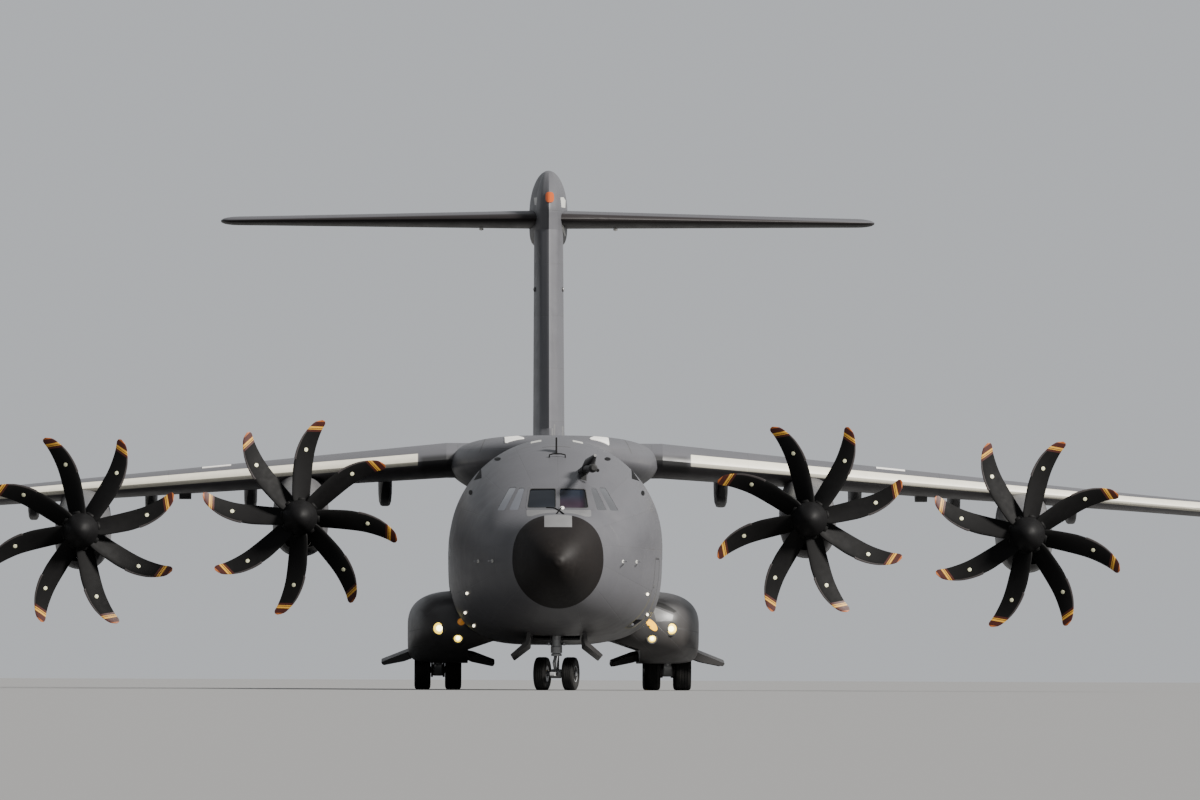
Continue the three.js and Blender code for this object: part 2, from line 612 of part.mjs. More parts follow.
function aftFuselage() {
  const { hingeStation, hingeZ, noseRadius, halfWidth, back } = RAMP;
  const edgeTop = bellyAt(back) + RAMP_EDGE.clear;
  const rampHole = join(
    rampPrism(CLEAR),
    box(-halfWidth - CLEAR, halfWidth + CLEAR, back - 2 * RAMP_EDGE.lean, CARGO_DOOR.front, 0, edgeTop),
    box(-halfWidth - CLEAR, halfWidth + CLEAR, hingeStation - 0.02, 32.95, 0.5, FLOOR_Z + 0.1),
    bar([-halfWidth - CLEAR, hingeStation, hingeZ], [halfWidth + CLEAR, hingeStation, hingeZ], noseRadius + CLEAR, 24),
  );
  return cut(aftShell(), rampHole, cargoDoorPrism(CLEAR));
}

// Main gear fairing: station, centre height, half width, rise, drop
const SPONSON_X = 2.5;
const SPONSON = [
  [12.9, 1.7, 0.35, 0.25, 0.25],
  [13.15, 1.7, 0.8, 0.55, 0.54],
  [13.8, 1.7, 1.14, 0.79, 0.8],
  [15.0, 1.7, 1.35, 0.92, 0.94],
  [16.8, 1.7, 1.42, 0.96, 0.98],
  [22.2, 1.7, 1.42, 0.96, 0.98],
  [23.6, 1.75, 1.2, 0.82, 0.8],
  [25.0, 1.9, 0.6, 0.4, 0.4],
];
const WELL = { inner: 2.36, outer: 3.78, front: 17.1, back: 22.0, roof: 1.8 };
// The inner side of the fairing stands free below the belly: [x, z] of what is cut away there
const BELOW_BELLY = [[0, 0], [2.3, 0], [2.3, 1.08], [1.6, 1.32], [0, 1.32]];
// Main gear doors hang open and bow upwards between their ends: [x, z] outlines of the ends
const GEAR_DOORS = [
  [[3.8, 1.06], [4.06, 0.96], [4.64, 0.73], [4.58, 0.65], [4.02, 0.76], [3.8, 0.84]],
  [[2.34, 0.99], [2.14, 0.95], [1.56, 0.73], [1.61, 0.63], [2.18, 0.75], [2.34, 0.82]],
];
const GEAR_DOOR_BOW = 0.09;

function bowedDoor(outline) {
  const front = WELL.front + 0.05;
  const back = WELL.back - 0.05;
  const ends = [
    [front, 0],
    [front + 0.3 * (back - front), GEAR_DOOR_BOW],
    [back - 0.3 * (back - front), GEAR_DOOR_BOW],
    [back, 0],
  ];
  return loft(ends.map(([s, rise]) => outline.map(([x, z]) => [x, stationY(s), z + rise])));
}

function sponson() {
  const shape = loft(SPONSON.map(([s, z, w, up, down]) => ovalRing([SPONSON_X, z], w, up, down, 6.5, s, 20, 2.6)));
  const well = box(WELL.inner, WELL.outer, WELL.front, WELL.back, 0, WELL.roof);
  const free = frontPrism(BELOW_BELLY, FORWARD_END, 30);
  const fairing = cut(shape, hull(FORWARD_END, 30, SEAT), well, free);
  return join(fairing, jackPad(JACK_PAD.side), ...GEAR_DOORS.map(bowedDoor));
}

// Wheels: [distance along the axle, radius] of half a twin pair
const MAIN_WHEEL = { x: 3.1, radius: 0.545, stations: [17.95, 19.55, 21.15], axle: 0.095 };
const NOSE_WHEEL = { station: 5.3, radius: 0.445, axle: 0.07 };
const WHEEL_SIDES = 16;
const MAIN_TWIN = [[0.6, 0.28], [0.635, 0.42], [0.56, 0.545], [0.27, 0.545], [0.195, 0.42]];
const NOSE_TWIN = [[0.49, 0.22], [0.515, 0.33], [0.46, 0.445], [0.28, 0.445], [0.225, 0.33]];
// The tyre stands on a flat side of its outline, so the axle is a little lower than the radius.
const axleHeight = (radius) => radius * Math.cos(Math.PI / WHEEL_SIDES);

function twinWheels(half, axleRadius, centre) {
  const inner = half[half.length - 1][0];
  const side = [[half[0][0], 0], ...half, [inner, axleRadius]];
  const profile = [...side.map(([along, r]) => [-along, r]), ...side.reverse()];
  return turned(profile, WHEEL_SIDES, [1, 0, 0], centre);
}

// Main gear: a beam in the roof of the well, and under it a leg and a trailing arm for each pair of wheels
const BEAM = { halfWidth: 0.13, depth: 0.2, past: 0.5 };
const LEG = { radius: 0.1, top: -0.3, foot: -0.22, footZ: 0.72 };
const ARM = { halfWidth: 0.1, front: [-0.36, 0.62], top: [-0.08, 0.86], back: 0.12, halfDepth: 0.13, low: [-0.1, 0.15] };
const HOUSING = { halfWidth: 0.13, radius: 0.16 };

function mainLeg(s) {
  const z = axleHeight(MAIN_WHEEL.radius);
  const { x } = MAIN_WHEEL;
  const strut = bar([x, s + LEG.top, WELL.roof - BEAM.depth / 2], [x, s + LEG.foot, LEG.footZ], LEG.radius, 6);
  const outline = [
    [s + ARM.front[0], ARM.front[1]],
    [s + ARM.top[0], ARM.top[1]],
    [s + ARM.back, z + ARM.halfDepth],
    [s + ARM.back, z - ARM.halfDepth],
    [s + ARM.low[0], z - ARM.low[1]],
  ];
  const arm = sidePrism(outline, x - ARM.halfWidth, x + ARM.halfWidth);
  const housing = bar([x - HOUSING.halfWidth, s, z], [x + HOUSING.halfWidth, s, z], HOUSING.radius, 8);
  const bore = bar([x - 1, s, z], [x + 1, s, z], MAIN_WHEEL.axle * ROUND_HOLE, WHEEL_SIDES);
  return cut(join(strut, arm, housing), bore);
}

function mainGear() {
  const { x, stations } = MAIN_WHEEL;
  const front = stations[0] - BEAM.past;
  const back = stations[stations.length - 1] + BEAM.past;
  const beam = box(x - BEAM.halfWidth, x + BEAM.halfWidth, front, back, WELL.roof - BEAM.depth, WELL.roof - SEAT);
  return join(beam, ...stations.map(mainLeg));
}

// Nose gear: the strut is fixed and the fork below it steers. The fork is made about its own axis at x = 0.
const FORK_TOP = 0.98;
const NOSE_STRUT = { radius: 0.11, collarRadius: 0.15, collarHeight: 0.16 };
const BRACE = { radius: 0.05, low: 1.35, high: 2.25, footHalfWidth: 0.2, footLength: 0.2, footDepth: 0.15 };
const FORK = { radius: 0.075, plateRadius: 0.14, plateDepth: 0.08, housingRadius: 0.12, housingHalfWidth: 0.14 };
const TORQUE_LINK = { halfWidth: 0.035, knee: 0.32, inner: 0.22, kneeZ: 0.72 };
const TOW_LUG = { halfWidth: 0.06, reach: 0.5, above: 0.04, below: 0.06 };

function noseStrut() {
  const s = NOSE_WHEEL.station;
  const { radius, collarRadius, collarHeight } = NOSE_STRUT;
  const strut = bar([0, s, FORK_TOP], [0, s, BAY.roof - SEAT], radius, 14);
  const collar = bar([0, s, FORK_TOP], [0, s, FORK_TOP + collarHeight], collarRadius, 14);
  const footFront = BAY.front + 0.02;
  const footBack = footFront + BRACE.footLength;
  const brace = bar([0, s - 0.08, BRACE.low], [0, (footFront + footBack) / 2, BRACE.high], BRACE.radius, 8);
  const foot = box(-BRACE.footHalfWidth, BRACE.footHalfWidth, footFront, footBack, BAY.roof - BRACE.footDepth, BAY.roof - SEAT);
  return join(strut, collar, brace, foot);
}

function noseFork() {
  const s = NOSE_WHEEL.station;
  const z = axleHeight(NOSE_WHEEL.radius);
  const { radius, plateRadius, plateDepth, housingRadius, housingHalfWidth } = FORK;
  const piston = bar([0, s, z], [0, s, FORK_TOP - SEAT], radius, 14);
  const plate = bar([0, s, FORK_TOP - plateDepth], [0, s, FORK_TOP - SEAT], plateRadius, 14);
  const { halfWidth, knee, inner, kneeZ } = TORQUE_LINK;
  const outline = [
    [s - 0.1, FORK_TOP - 0.07],
    [s - knee, kneeZ],
    [s - 0.1, z + 0.05],
    [s - 0.05, z + 0.1],
    [s - inner, kneeZ],
    [s - 0.05, FORK_TOP - 0.1],
  ];
  const link = sidePrism(outline, -halfWidth, halfWidth);
  const housing = bar([-housingHalfWidth, s, z], [housingHalfWidth, s, z], housingRadius, 16);
  const { above, below, reach } = TOW_LUG;
  const towLug = box(-TOW_LUG.halfWidth, TOW_LUG.halfWidth, s - reach, s, z - below, z + above);
  const bore = bar([-1, s, z], [1, s, z], NOSE_WHEEL.axle * ROUND_HOLE, WHEEL_SIDES);
  return cut(join(piston, plate, link, housing, towLug), bore);
}

// Nose gear doors hang down and flare out, more so at the front: [x, z] outlines of the two ends
const NOSE_DOOR = {
  front: 4.4,
  frontOutline: [[0.64, 1.7], [0.74, 1.7], [0.82, 1.28], [1.22, 0.93], [1.16, 0.87], [0.74, 1.2]],
  back: 6.2,
  backOutline: [[0.64, 1.6], [0.71, 1.6], [0.75, 1.16], [1.15, 0.83], [1.1, 0.77], [0.67, 1.1]],
};

function noseDoor() {
  const { front, frontOutline, back, backOutline } = NOSE_DOOR;
  const ring = (outline, s) => outline.map(([x, z]) => [x, stationY(s), z]);
  const plate = loft([ring(frontOutline, front), ring(backOutline, back)]);
  return cut(plate, hull(RADOME_END, FORWARD_END, SEAT));
}

// Fin: height, leading edge station, chord, thickness
const FIN = [
  [5.6, 31.4, 9.6, 0.92],
  [6.7, 32.6, 8.75, 0.9],
  [7.3, 34.15, 7.4, 0.88],
  [12.98, 38.4, 5.13, 0.82],
];
const RUDDER = { from: 7.75, to: 12.3, share: 0.68 };

function finRing(z, grow = 0) {
  const [, front, chord, thickness] = readTable(FIN, z);
  return aerofoil(front, chord, thickness, grow).map(([s, t]) => [t, stationY(s), z]);
}

const finSolid = (grow = 0) => loft(FIN.map(([z]) => finRing(z, grow).map((p) => [p[0], p[1], p[2] + grow])));

function finPieces() {
  const body = cut(finSolid(), hull(CENTRE_END, 43.1, SEAT));
  const whole = [...body.decompose()].sort((a, b) => b.volume() - a.volume())[0];
  const hingeAt = (z) => {
    const [, front, chord] = readTable(FIN, z);
    return [0, front + RUDDER.share * chord, z];
  };
  const radiusAt = (z) => readTable(FIN, z)[3] * halfThickness(RUDDER.share);
  return splitControl(whole, {
    from: hingeAt(RUDDER.from),
    to: hingeAt(RUDDER.to),
    aft: [0, 1, 0],
    radii: [radiusAt(RUDDER.from), radiusAt(RUDDER.to)],
    reach: 4,
    pin: 0.06,
  });
}

// Tailplane: distance from the centreline, leading edge station, chord, thickness
const TAIL_Z = 13.3;
const TAIL = [
  [0, 38.9, 4.9, 0.52],
  [8.9, 42.4, 2.3, 0.24],
  [9.2, 42.6, 2.1, 0.16],
  [9.3, 42.85, 1.75, 0.06],
];
const ELEVATOR = { from: 0.95, to: 8.8, share: 0.7 };

function tailRing(x, grow = 0) {
  const [, front, chord, thickness] = readTable(TAIL, Math.abs(x));
  return aerofoil(front, chord, thickness, grow).map(([s, t]) => [x, stationY(s), TAIL_Z + t]);
}

function tailSolid(grow = 0) {
  const xs = TAIL.map((row) => row[0]);
  return loft([...xs.slice(1).reverse().map((x) => -x), ...xs].map((x) => tailRing(x, grow)));
}

function tailplanePieces() {
  const body = tailSolid();
  const hinge = (side) => {
    const at = (x) => {
      const [, front, chord, thickness] = readTable(TAIL, x);
      return { point: [side * x, front + ELEVATOR.share * chord, TAIL_Z], radius: thickness * halfThickness(ELEVATOR.share) };
    };
    const inner = at(ELEVATOR.from);
    const outer = at(ELEVATOR.to);
    return {
      from: inner.point,
      to: outer.point,
      aft: [0, 1, 0],
      radii: [inner.radius, outer.radius],
      reach: 3,
      pin: 0.035,
    };
  };
  const [half, elevatorPort] = splitControl(body, hinge(1));
  const [tailplane, elevatorStarboard] = splitControl(half, hinge(-1));
  return { tailplane, elevatorPort, elevatorStarboard };
}

// Fairing where fin and tailplane meet: station, half width, rise, drop, about a height
const BULLET_Z = 13.48;
const BULLET = [
  [38.5, 0.05, 0.08, 0.42],
  [38.7, 0.18, 0.3, 0.5],
  [39.05, 0.32, 0.6, 0.65],
  [39.5, 0.41, 0.88, 0.8],
  [40.1, 0.49, 1.1, 0.9],
  [40.8, 0.54, 1.22, 0.95],
  [42.6, 0.5, 1.08, 0.82],
  [44.2, 0.3, 0.6, 0.5],
  [LENGTH, 0.06, 0.12, 0.12],
];
// The fin's leading edge carries on up the front of the fairing: height, leading edge station, chord, thickness
const PROW = [
  [12.9, 38.45, 3.3, 0.62],
  [14.25, 39.2, 2.6, 0.6],
  [14.6, 39.8, 1.8, 0.34],
];

function finBullet() {
  const shape = loft(BULLET.map(([s, w, up, down]) => ovalRing([0, BULLET_Z], w, up, down, 2, s, 16)));
  const prow = loft(
    PROW.map(([z, front, chord, thickness]) => aerofoil(front, chord, thickness).map(([s, t]) => [t, stationY(s), z])),
  );
  return cut(join(shape, prow), finSolid(SEAT), tailSolid(SEAT));
}

// Engines: where the shafts are, and which way the blade tips lean: 1 is counter-clockwise seen from ahead
const ENGINES = [
  { name: "1", x: 12.67, plane: 14.3, axis: 4.22, turn: -1 },
  { name: "2", x: 6.8, plane: 12.4, axis: 4.58, turn: 1 },
  { name: "3", x: -6.8, plane: 12.4, axis: 4.58, turn: -1 },
  { name: "4", x: -12.67, plane: 14.3, axis: 4.22, turn: 1 },
];
// Nacelle: distance behind the propeller, half width, rise above the shaft, drop below it
const NACELLE = [
  [0.16, 0.52, 0.52, 0.84],
  [0.5, 0.64, 0.64, 0.98],
  [1.5, 0.74, 0.82, 1.03],
  [3.2, 0.75, 1.08, 1.0],
  [4.4, 0.72, 1.3, 0.9],
  [5.8, 0.52, 1.2, 0.5],
  [6.85, 0.16, 1.02, -0.2],
];
const NACELLE_CAVITY = [[0.62, 0.64, 0.64, 0.98], ...NACELLE.slice(2, 5), [5.2, 0.6, 1.22, 0.68]];
const CHIN = { drop: 0.68, halfWidth: 0.36, up: 0.1, down: 0.13, depth: 0.9 }; // air intake under the spinner
const SHAFT = 0.17;
const ROUND_HOLE = 1.04; // a faceted hole's radius over that of the faceted bar in it
const PIPE = { radius: 0.27, wall: 0.05, drop: 0.52, front: 4.3, back: 6.5 };

function nacelle(engine) {
  const { plane, axis } = engine;
  const x = Math.abs(engine.x);
  const ring = ([d, w, up, down], grow) => {
    const middle = (up - down) / 2;
    const half = (up + down) / 2 + grow;
    return ovalRing([x, axis + middle], w + grow, half, half, 2.4, plane + d, grow < 0 ? 8 : 14, 2.4);
  };
  const outer = loft(NACELLE.map((row) => ring(row, 0)));
  const cavity = loft(NACELLE_CAVITY.map((row) => ring(row, -0.09)));
  const shaftHole = turned([[-1, 0], [-1, SHAFT + 0.01], [1, SHAFT + 0.01], [1, 0]], 10, [0, 1, 0], [x, plane, axis]);
  const mouth = (d) => ovalRing([x, axis - CHIN.drop], CHIN.halfWidth, CHIN.up, CHIN.down, 2.6, plane + d, 8, 2.6);
  const chin = loft([mouth(-0.2), mouth(CHIN.depth)]);
  const pipeHole = bar([x, plane + 4, axis - PIPE.drop], [x, plane + 9, axis - PIPE.drop], PIPE.radius * ROUND_HOLE, 12);
  return cut(outer, cavity, shaftHole, chin, pipeHole, wingSolid(2, WING_TIP, SEAT));
}

function engineBlock(engine) {
  const { plane, axis } = engine;
  const x = Math.abs(engine.x);
  const flange = NACELLE_CAVITY[0][0] + SEAT;
  const front = 0.06 + SEAT;
  const profile = [
    [front, 0],
    [front, SHAFT],
    [flange, SHAFT],
    [flange, 0.44],
    [1.6, 0.46],
    [1.7, 0.38],
    [4.2, 0.38],
    [4.3, 0],
  ];
  const core = turned(profile, 10, [0, 1, 0], [x, plane, axis]);
  const inPipe = (d) => [x, plane + d, axis - PIPE.drop];
  const pipe = cut(
    bar(inPipe(PIPE.front), inPipe(PIPE.back), PIPE.radius, 12),
    bar(inPipe(PIPE.front + 0.4), inPipe(PIPE.back + 1), PIPE.radius - PIPE.wall, 12),
  );
  const elbow = bar([x, plane + 3.9, axis - 0.15], inPipe(PIPE.front + 0.3), 0.24, 8);
  return join(core, pipe, elbow);
}

// Propeller blade: share of the radius, sweep angle in degrees, chord, thickness, pitch in degrees
const PROPELLER_RADIUS = 2.665;
const BLADE_COUNT = 8;
const BLADE = [
  [0.12, 0, 0.36, 0.15, 42],
  [0.28, 0, 0.58, 0.09, 33],
  [0.45, 0.3, 0.58, 0.065, 28],
  [0.62, 1.7, 0.54, 0.05, 24],
  [0.78, 4.4, 0.47, 0.04, 21],
  [0.9, 7.4, 0.36, 0.03, 19],
  [0.97, 9.6, 0.27, 0.02, 18],
  [1.0, 10.5, 0.14, 0.014, 17],
];
const SPINNER = [[0.06, 0], [0.06, 0.5], [-0.3, 0.46], [-0.62, 0.34], [-0.85, 0.17], [-0.92, 0]];
const BLADE_SECTION = [[-0.5, 0], [-0.08, 0.5], [0.5, 0], [-0.08, -0.5]];

// Ring of one blade section about the shaft: x across, y aft, z up, with the shaft at the origin.
function bladeRing([share, sweep, chord, thickness, pitch], lean, turn) {
  const angle = THREE.MathUtils.degToRad(lean + sweep);
  const r = share * PROPELLER_RADIUS;
  const twist = THREE.MathUtils.degToRad(pitch);
  const out = [Math.cos(angle), Math.sin(angle)];
  const round = [-Math.sin(angle), Math.cos(angle)];
  return BLADE_SECTION.map(([along, thick]) => {
    const around = along * chord * Math.cos(twist) - thick * thickness * Math.sin(twist);
    const aft = along * chord * Math.sin(twist) + thick * thickness * Math.cos(twist);
    return [turn * (out[0] * r + round[0] * around), aft - 0.12, out[1] * r + round[1] * around];
  });
}

function propeller(engine, lean) {
  const spinner = turned(SPINNER, 16, [0, 1, 0], [0, LENGTH / 2, 0]);
  const blades = [];
  for (let i = 0; i < BLADE_COUNT; i++) {
    const root = lean + (360 * i) / BLADE_COUNT;
    blades.push(blade(root, engine.turn));
  }
  return join(spinner, ...blades);
}

function blade(root, turn) {
  const rings = BLADE.map((row) => bladeRing(row, root, turn));
  const count = BLADE_SECTION.length;
  const triangles = [];
  for (let r = 0; r + 1 < rings.length; r++)
    for (let i = 0; i < count; i++) {
      const a = r * count + i;
      const b = r * count + ((i + 1) % count);
      triangles.push(a, b, b + count, a, b + count, a + count);
    }
  const last = (rings.length - 1) * count;
  for (let i = 1; i + 1 < count; i++) triangles.push(0, i + 1, i, last, last + i, last + i + 1);
  return solidFromTriangles(rings.flat(), triangles);
}

// Refuelling probe over the cockpit: three bars [from, to, radius, end radius], and the fin that carries them
const PROBE = {
  mast: [[0.6, 5.3, 5.72], [0.74, 3.9, 5.86], 0.14, 0.11],
  pipe: [[0.74, 3.92, 5.86], [0.9, 2.75, 5.93], 0.085, 0.085],
  nozzle: [[0.895, 2.8, 5.928], [0.935, 2.5, 5.945], 0.115, 0.09],
  pylon: { inner: 0.6, outer: 0.76, outline: [[4.0, 5.2], [5.3, 5.2], [5.2, 5.75], [4.1, 5.85]] },
};

function refuellingProbe() {
  const bars = [PROBE.mast, PROBE.pipe, PROBE.nozzle].map(([from, to, radius, end]) => bar(from, to, radius, 12, end));
  const pylon = sidePrism(PROBE.pylon.outline, PROBE.pylon.inner, PROBE.pylon.outer);
  return cut(join(pylon, ...bars), hull(2, 7, SEAT));
}

// The model
const plane = new THREE.Group();

function addMesh(parent, name, solid, material) {
  const mesh = new THREE.Mesh(geometryOf(solid), material);
  mesh.name = name;
  parent.add(mesh);
  return mesh;
}

function addPair(name, solid, material) {
  addMesh(plane, name + "_port", solid, material);
  addMesh(plane, name + "_starboard", solid, material).scale.x = -1;
}

addMesh(plane, "radome", radome(), BLACK_NOSE);
addMesh(plane, "forward_fuselage", forwardFuselage(), GREY);
addMesh(plane, "centre_fuselage", centreFuselage(), GREY);
addMesh(plane, "aft_fuselage", aftFuselage(), GREY);
addMesh(plane, "cargo_floor", cargoFloor(), FLOOR_METAL);
addMesh(plane, "flight_deck", flightDeck(), INTERIOR);
addMesh(plane, "cockpit_glazing", cockpitGlazing(), GLASS);
addMesh(plane, "crew_door", crewDoor(), GREY);
addPair("paratroop_door", sideDoor(), GREY);
addMesh(plane, "cargo_ramp", cargoRamp(), GREY);
addMesh(plane, "cargo_door", cargoDoor(), GREY_COMPOSITE);
addMesh(plane, "refuelling_probe", refuellingProbe(), DARK_GREY);

const wings = wingPieces();
addMesh(plane, "wing_box", wingBox(), GREY_COMPOSITE);
addMesh(plane, "wing_fairing", wingFairing(), GREY_COMPOSITE);
addPair("wing", wings.wing, GREY_COMPOSITE);
addPair("flap_inner", wings.flapInner, GREY_COMPOSITE);
addPair("flap_outer", wings.flapOuter, GREY_COMPOSITE);
addPair("aileron", wings.aileron, GREY_COMPOSITE);

const [fin, rudder] = finPieces();
addMesh(plane, "fin", fin, GREY_COMPOSITE);
addMesh(plane, "rudder", rudder, GREY_COMPOSITE);
addMesh(plane, "fin_bullet", finBullet(), GREY_COMPOSITE);
const tail = tailplanePieces();
addMesh(plane, "tailplane", tail.tailplane, GREY_COMPOSITE);
addMesh(plane, "elevator_port", tail.elevatorPort, GREY_COMPOSITE);
addMesh(plane, "elevator_starboard", tail.elevatorStarboard, GREY_COMPOSITE);

addPair("sponson", sponson(), GREY);
addPair("main_gear", mainGear(), STEEL);
MAIN_WHEEL.stations.forEach((s, i) => {
  const wheels = twinWheels(MAIN_TWIN, MAIN_WHEEL.axle, [MAIN_WHEEL.x, s, axleHeight(MAIN_WHEEL.radius)]);
  addPair(`main_wheels_${i + 1}`, wheels, TYRE);
});

addMesh(plane, "nose_gear_strut", noseStrut(), STEEL);
addPair("nose_gear_door", noseDoor(), GREY);
// The nose wheels stand steered, as in the photograph.
const STEER_REST = -13.5;
const steered = new THREE.Group();
steered.position.y = stationY(NOSE_WHEEL.station);
steered.rotation.z = THREE.MathUtils.degToRad(STEER_REST);
plane.add(steered);
const steeredPieces = [
  ["nose_gear_fork", noseFork(), STEEL],
  ["nose_wheels", twinWheels(NOSE_TWIN, NOSE_WHEEL.axle, [0, NOSE_WHEEL.station, axleHeight(NOSE_WHEEL.radius)]), TYRE],
];
for (const [name, solid, material] of steeredPieces)
  addMesh(steered, name, solid, material).position.y = -stationY(NOSE_WHEEL.station);

// How far each propeller has turned at rest, in degrees, as in the photograph
const BLADE_LEAN = { 1: 10.8, 2: 11.9, 3: 2.5, 4: 11.0 };
for (const engine of ENGINES) {
  const side = Math.sign(engine.x);
  addMesh(plane, `nacelle_${engine.name}`, nacelle(engine), GREY).scale.x = side;
  addMesh(plane, `engine_${engine.name}`, engineBlock(engine), ENGINE_METAL).scale.x = side;
  const rotor = new THREE.Group();
  rotor.position.set(engine.x, stationY(engine.plane), engine.axis);
  plane.add(rotor);
  addMesh(rotor, `propeller_${engine.name}`, propeller(engine, BLADE_LEAN[engine.name]), BLADE_BLACK);
}

plane.scale.setScalar(mmPerMetre);

export default plane;
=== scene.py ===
"""Looks for a four-engined military transport plane, built round its packed 1:2 model.

Sizes are full-size metres, given as (x to port, station aft of the nose, height) like those of the model.
SCALE and LENGTH turn them into the frame's metres. Every piece rides on one of the frame's bodies.
"""
import math

import bmesh
import bpy
import numpy as np
from mathutils import Matrix, Vector


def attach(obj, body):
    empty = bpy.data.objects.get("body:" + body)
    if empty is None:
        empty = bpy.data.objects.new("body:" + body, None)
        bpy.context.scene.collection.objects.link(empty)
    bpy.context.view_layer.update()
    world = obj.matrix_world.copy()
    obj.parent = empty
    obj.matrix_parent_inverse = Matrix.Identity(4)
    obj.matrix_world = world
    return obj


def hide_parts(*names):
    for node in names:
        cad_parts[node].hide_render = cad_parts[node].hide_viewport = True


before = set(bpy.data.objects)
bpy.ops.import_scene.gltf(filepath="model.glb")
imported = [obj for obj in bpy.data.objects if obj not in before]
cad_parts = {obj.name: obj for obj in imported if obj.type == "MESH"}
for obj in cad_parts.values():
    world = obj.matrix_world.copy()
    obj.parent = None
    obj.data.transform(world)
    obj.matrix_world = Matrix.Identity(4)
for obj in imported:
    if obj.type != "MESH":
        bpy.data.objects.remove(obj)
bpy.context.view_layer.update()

# Driving dimensions
SCALE = 0.5
LENGTH = 45.1
WALL = 0.14  # fuselage skin, frame and lining
GAP = 0.014  # beside a moving piece
COVE = 0.03  # round the nose of a control surface
SEAM = 0.008  # between fixed panels
CLEAR = 0.001  # between a piece and the solid that it was cut to
HAIR = 0.0004  # least radius, and least step between two faces
FLOOR_Z = 1.78
AIRFRAME = "airframe"
ACROSS, AFT, UP, AHEAD = (1, 0, 0), (0, 1, 0), (0, 0, 1), (0, -1, 0)
PORT, STARBOARD = 1, -1
SIDES = ((PORT, "port"), (STARBOARD, "starboard"))


# Reading tables
def smooth_table(rows, at, warp=lambda v: v):
    """Values of a table at many positions, on curves that don't overshoot its rows."""
    rows = np.asarray(rows, float)
    x, y = warp(rows[:, 0]), rows[:, 1:]
    at = np.clip(warp(np.asarray(at, float)), x[0], x[-1])
    h = np.diff(x)[:, None]
    slope = np.diff(y, axis=0) / h
    w1, w2 = 2 * h[1:] + h[:-1], h[1:] + 2 * h[:-1]
    with np.errstate(divide="ignore", invalid="ignore"):
        mean = (w1 + w2) / (w1 / slope[:-1] + w2 / slope[1:])
    tangent = np.vstack([slope[:1], np.where(slope[:-1] * slope[1:] > 0, mean, 0), slope[-1:]])
    i = np.clip(np.searchsorted(x, at, side="right") - 1, 0, len(x) - 2)
    t = ((at - x[i]) / h[i, 0])[:, None]
    return (
        (2 * t**3 - 3 * t**2 + 1) * y[i]
        + (t**3 - 2 * t**2 + t) * h[i] * tangent[i]
        + (3 * t**2 - 2 * t**3) * y[i + 1]
        + (t**3 - t**2) * h[i] * tangent[i + 1]
    )


def straight_table(rows, at):
    rows = np.asarray(rows, float)
    return np.stack([np.interp(at, rows[:, 0], rows[:, k]) for k in range(1, rows.shape[1])], axis=-1)


# Building meshes
def in_frame(points):
    placed = np.array(points, float).reshape(-1, 3)
    placed[:, 1] -= LENGTH / 2
    return placed * SCALE


def new_object(name, points, faces):
    mesh = bpy.data.meshes.new(name)
    mesh.from_pydata(in_frame(points).tolist(), [], faces)
    edit = bmesh.new()
    edit.from_mesh(mesh)
    bmesh.ops.recalc_face_normals(edit, faces=edit.faces)
    edit.to_mesh(mesh)
    edit.free()
    piece = bpy.data.objects.new(name, mesh)
    bpy.context.collection.objects.link(piece)
    return piece


def loft(name, rings, round_trip=False):
    """A surface through rings of equally many points, closed at its ends or joined back to its start."""
    rings = np.asarray(rings, float)
    count, size = rings.shape[:2]
    spans = count if round_trip else count - 1
    a = (np.arange(spans)[:, None] * size + np.arange(size)[None, :]).ravel()
    b = (np.arange(spans)[:, None] * size + (np.arange(size)[None, :] + 1) % size).ravel()
    total = count * size
    faces = np.stack([a, b, (b + size) % total, (a + size) % total], axis=1).tolist()
    if not round_trip:
        faces += [list(range(size)), list(range(total - size, total))]
    return new_object(name, rings, faces)


def prism(name, outline, axis, low, high):
    """An outline swept along x, station or height. Its points name the other two, in that order."""
    k = "xsz".index(axis)
    return loft(name, [[[*p[:k], at, *p[k:]] for p in outline] for at in (low, high)])


def rectangle(a1, a2, b1, b2):
    return [(a1, b1), (a2, b1), (a2, b2), (a1, b2)]


def box(name, x1, x2, s1, s2, z1, z2):
    return prism(name, rectangle(x1, x2, s1, s2), "z", z1, z2)


def rounded(outline, radius, steps=4):
    """The outline with its corners rounded."""
    points = [np.asarray(p, float) for p in outline]
    result = []
    for i, corner in enumerate(points):
        before, after = points[i - 1] - corner, points[(i + 1) % len(points)] - corner
        r = min(radius, np.linalg.norm(before) / 2.2, np.linalg.norm(after) / 2.2)
        start = corner + before / np.linalg.norm(before) * r
        end = corner + after / np.linalg.norm(after) * r
        for t in np.linspace(0, 1, steps + 1):
            result.append(tuple((1 - t) ** 2 * start + 2 * t * (1 - t) * corner + t**2 * end))
    return result


def turned(name, profile, centre, axis, sides=48):
    """A solid of revolution from (distance along the axis, radius) points."""
    along = np.asarray(axis, float) / np.linalg.norm(axis)
    across = np.cross(along, (0.0, 0.0, 1.0) if abs(along[2]) < 0.9 else (1.0, 0.0, 0.0))
    across /= np.linalg.norm(across)
    third = np.cross(along, across)
    angle = np.arange(sides) * 2 * np.pi / sides
    circle = np.cos(angle)[:, None] * across + np.sin(angle)[:, None] * third
    rings = [np.asarray(centre) + d * along + max(r, HAIR) * circle for d, r in profile]
    return loft(name, rings)


def bar(name, start, end, radius, end_radius=None, sides=24):
    start, end = np.asarray(start, float), np.asarray(end, float)
    length = np.linalg.norm(end - start)
    return turned(name, [(0, radius), (length, end_radius or radius)], start, end - start, sides)


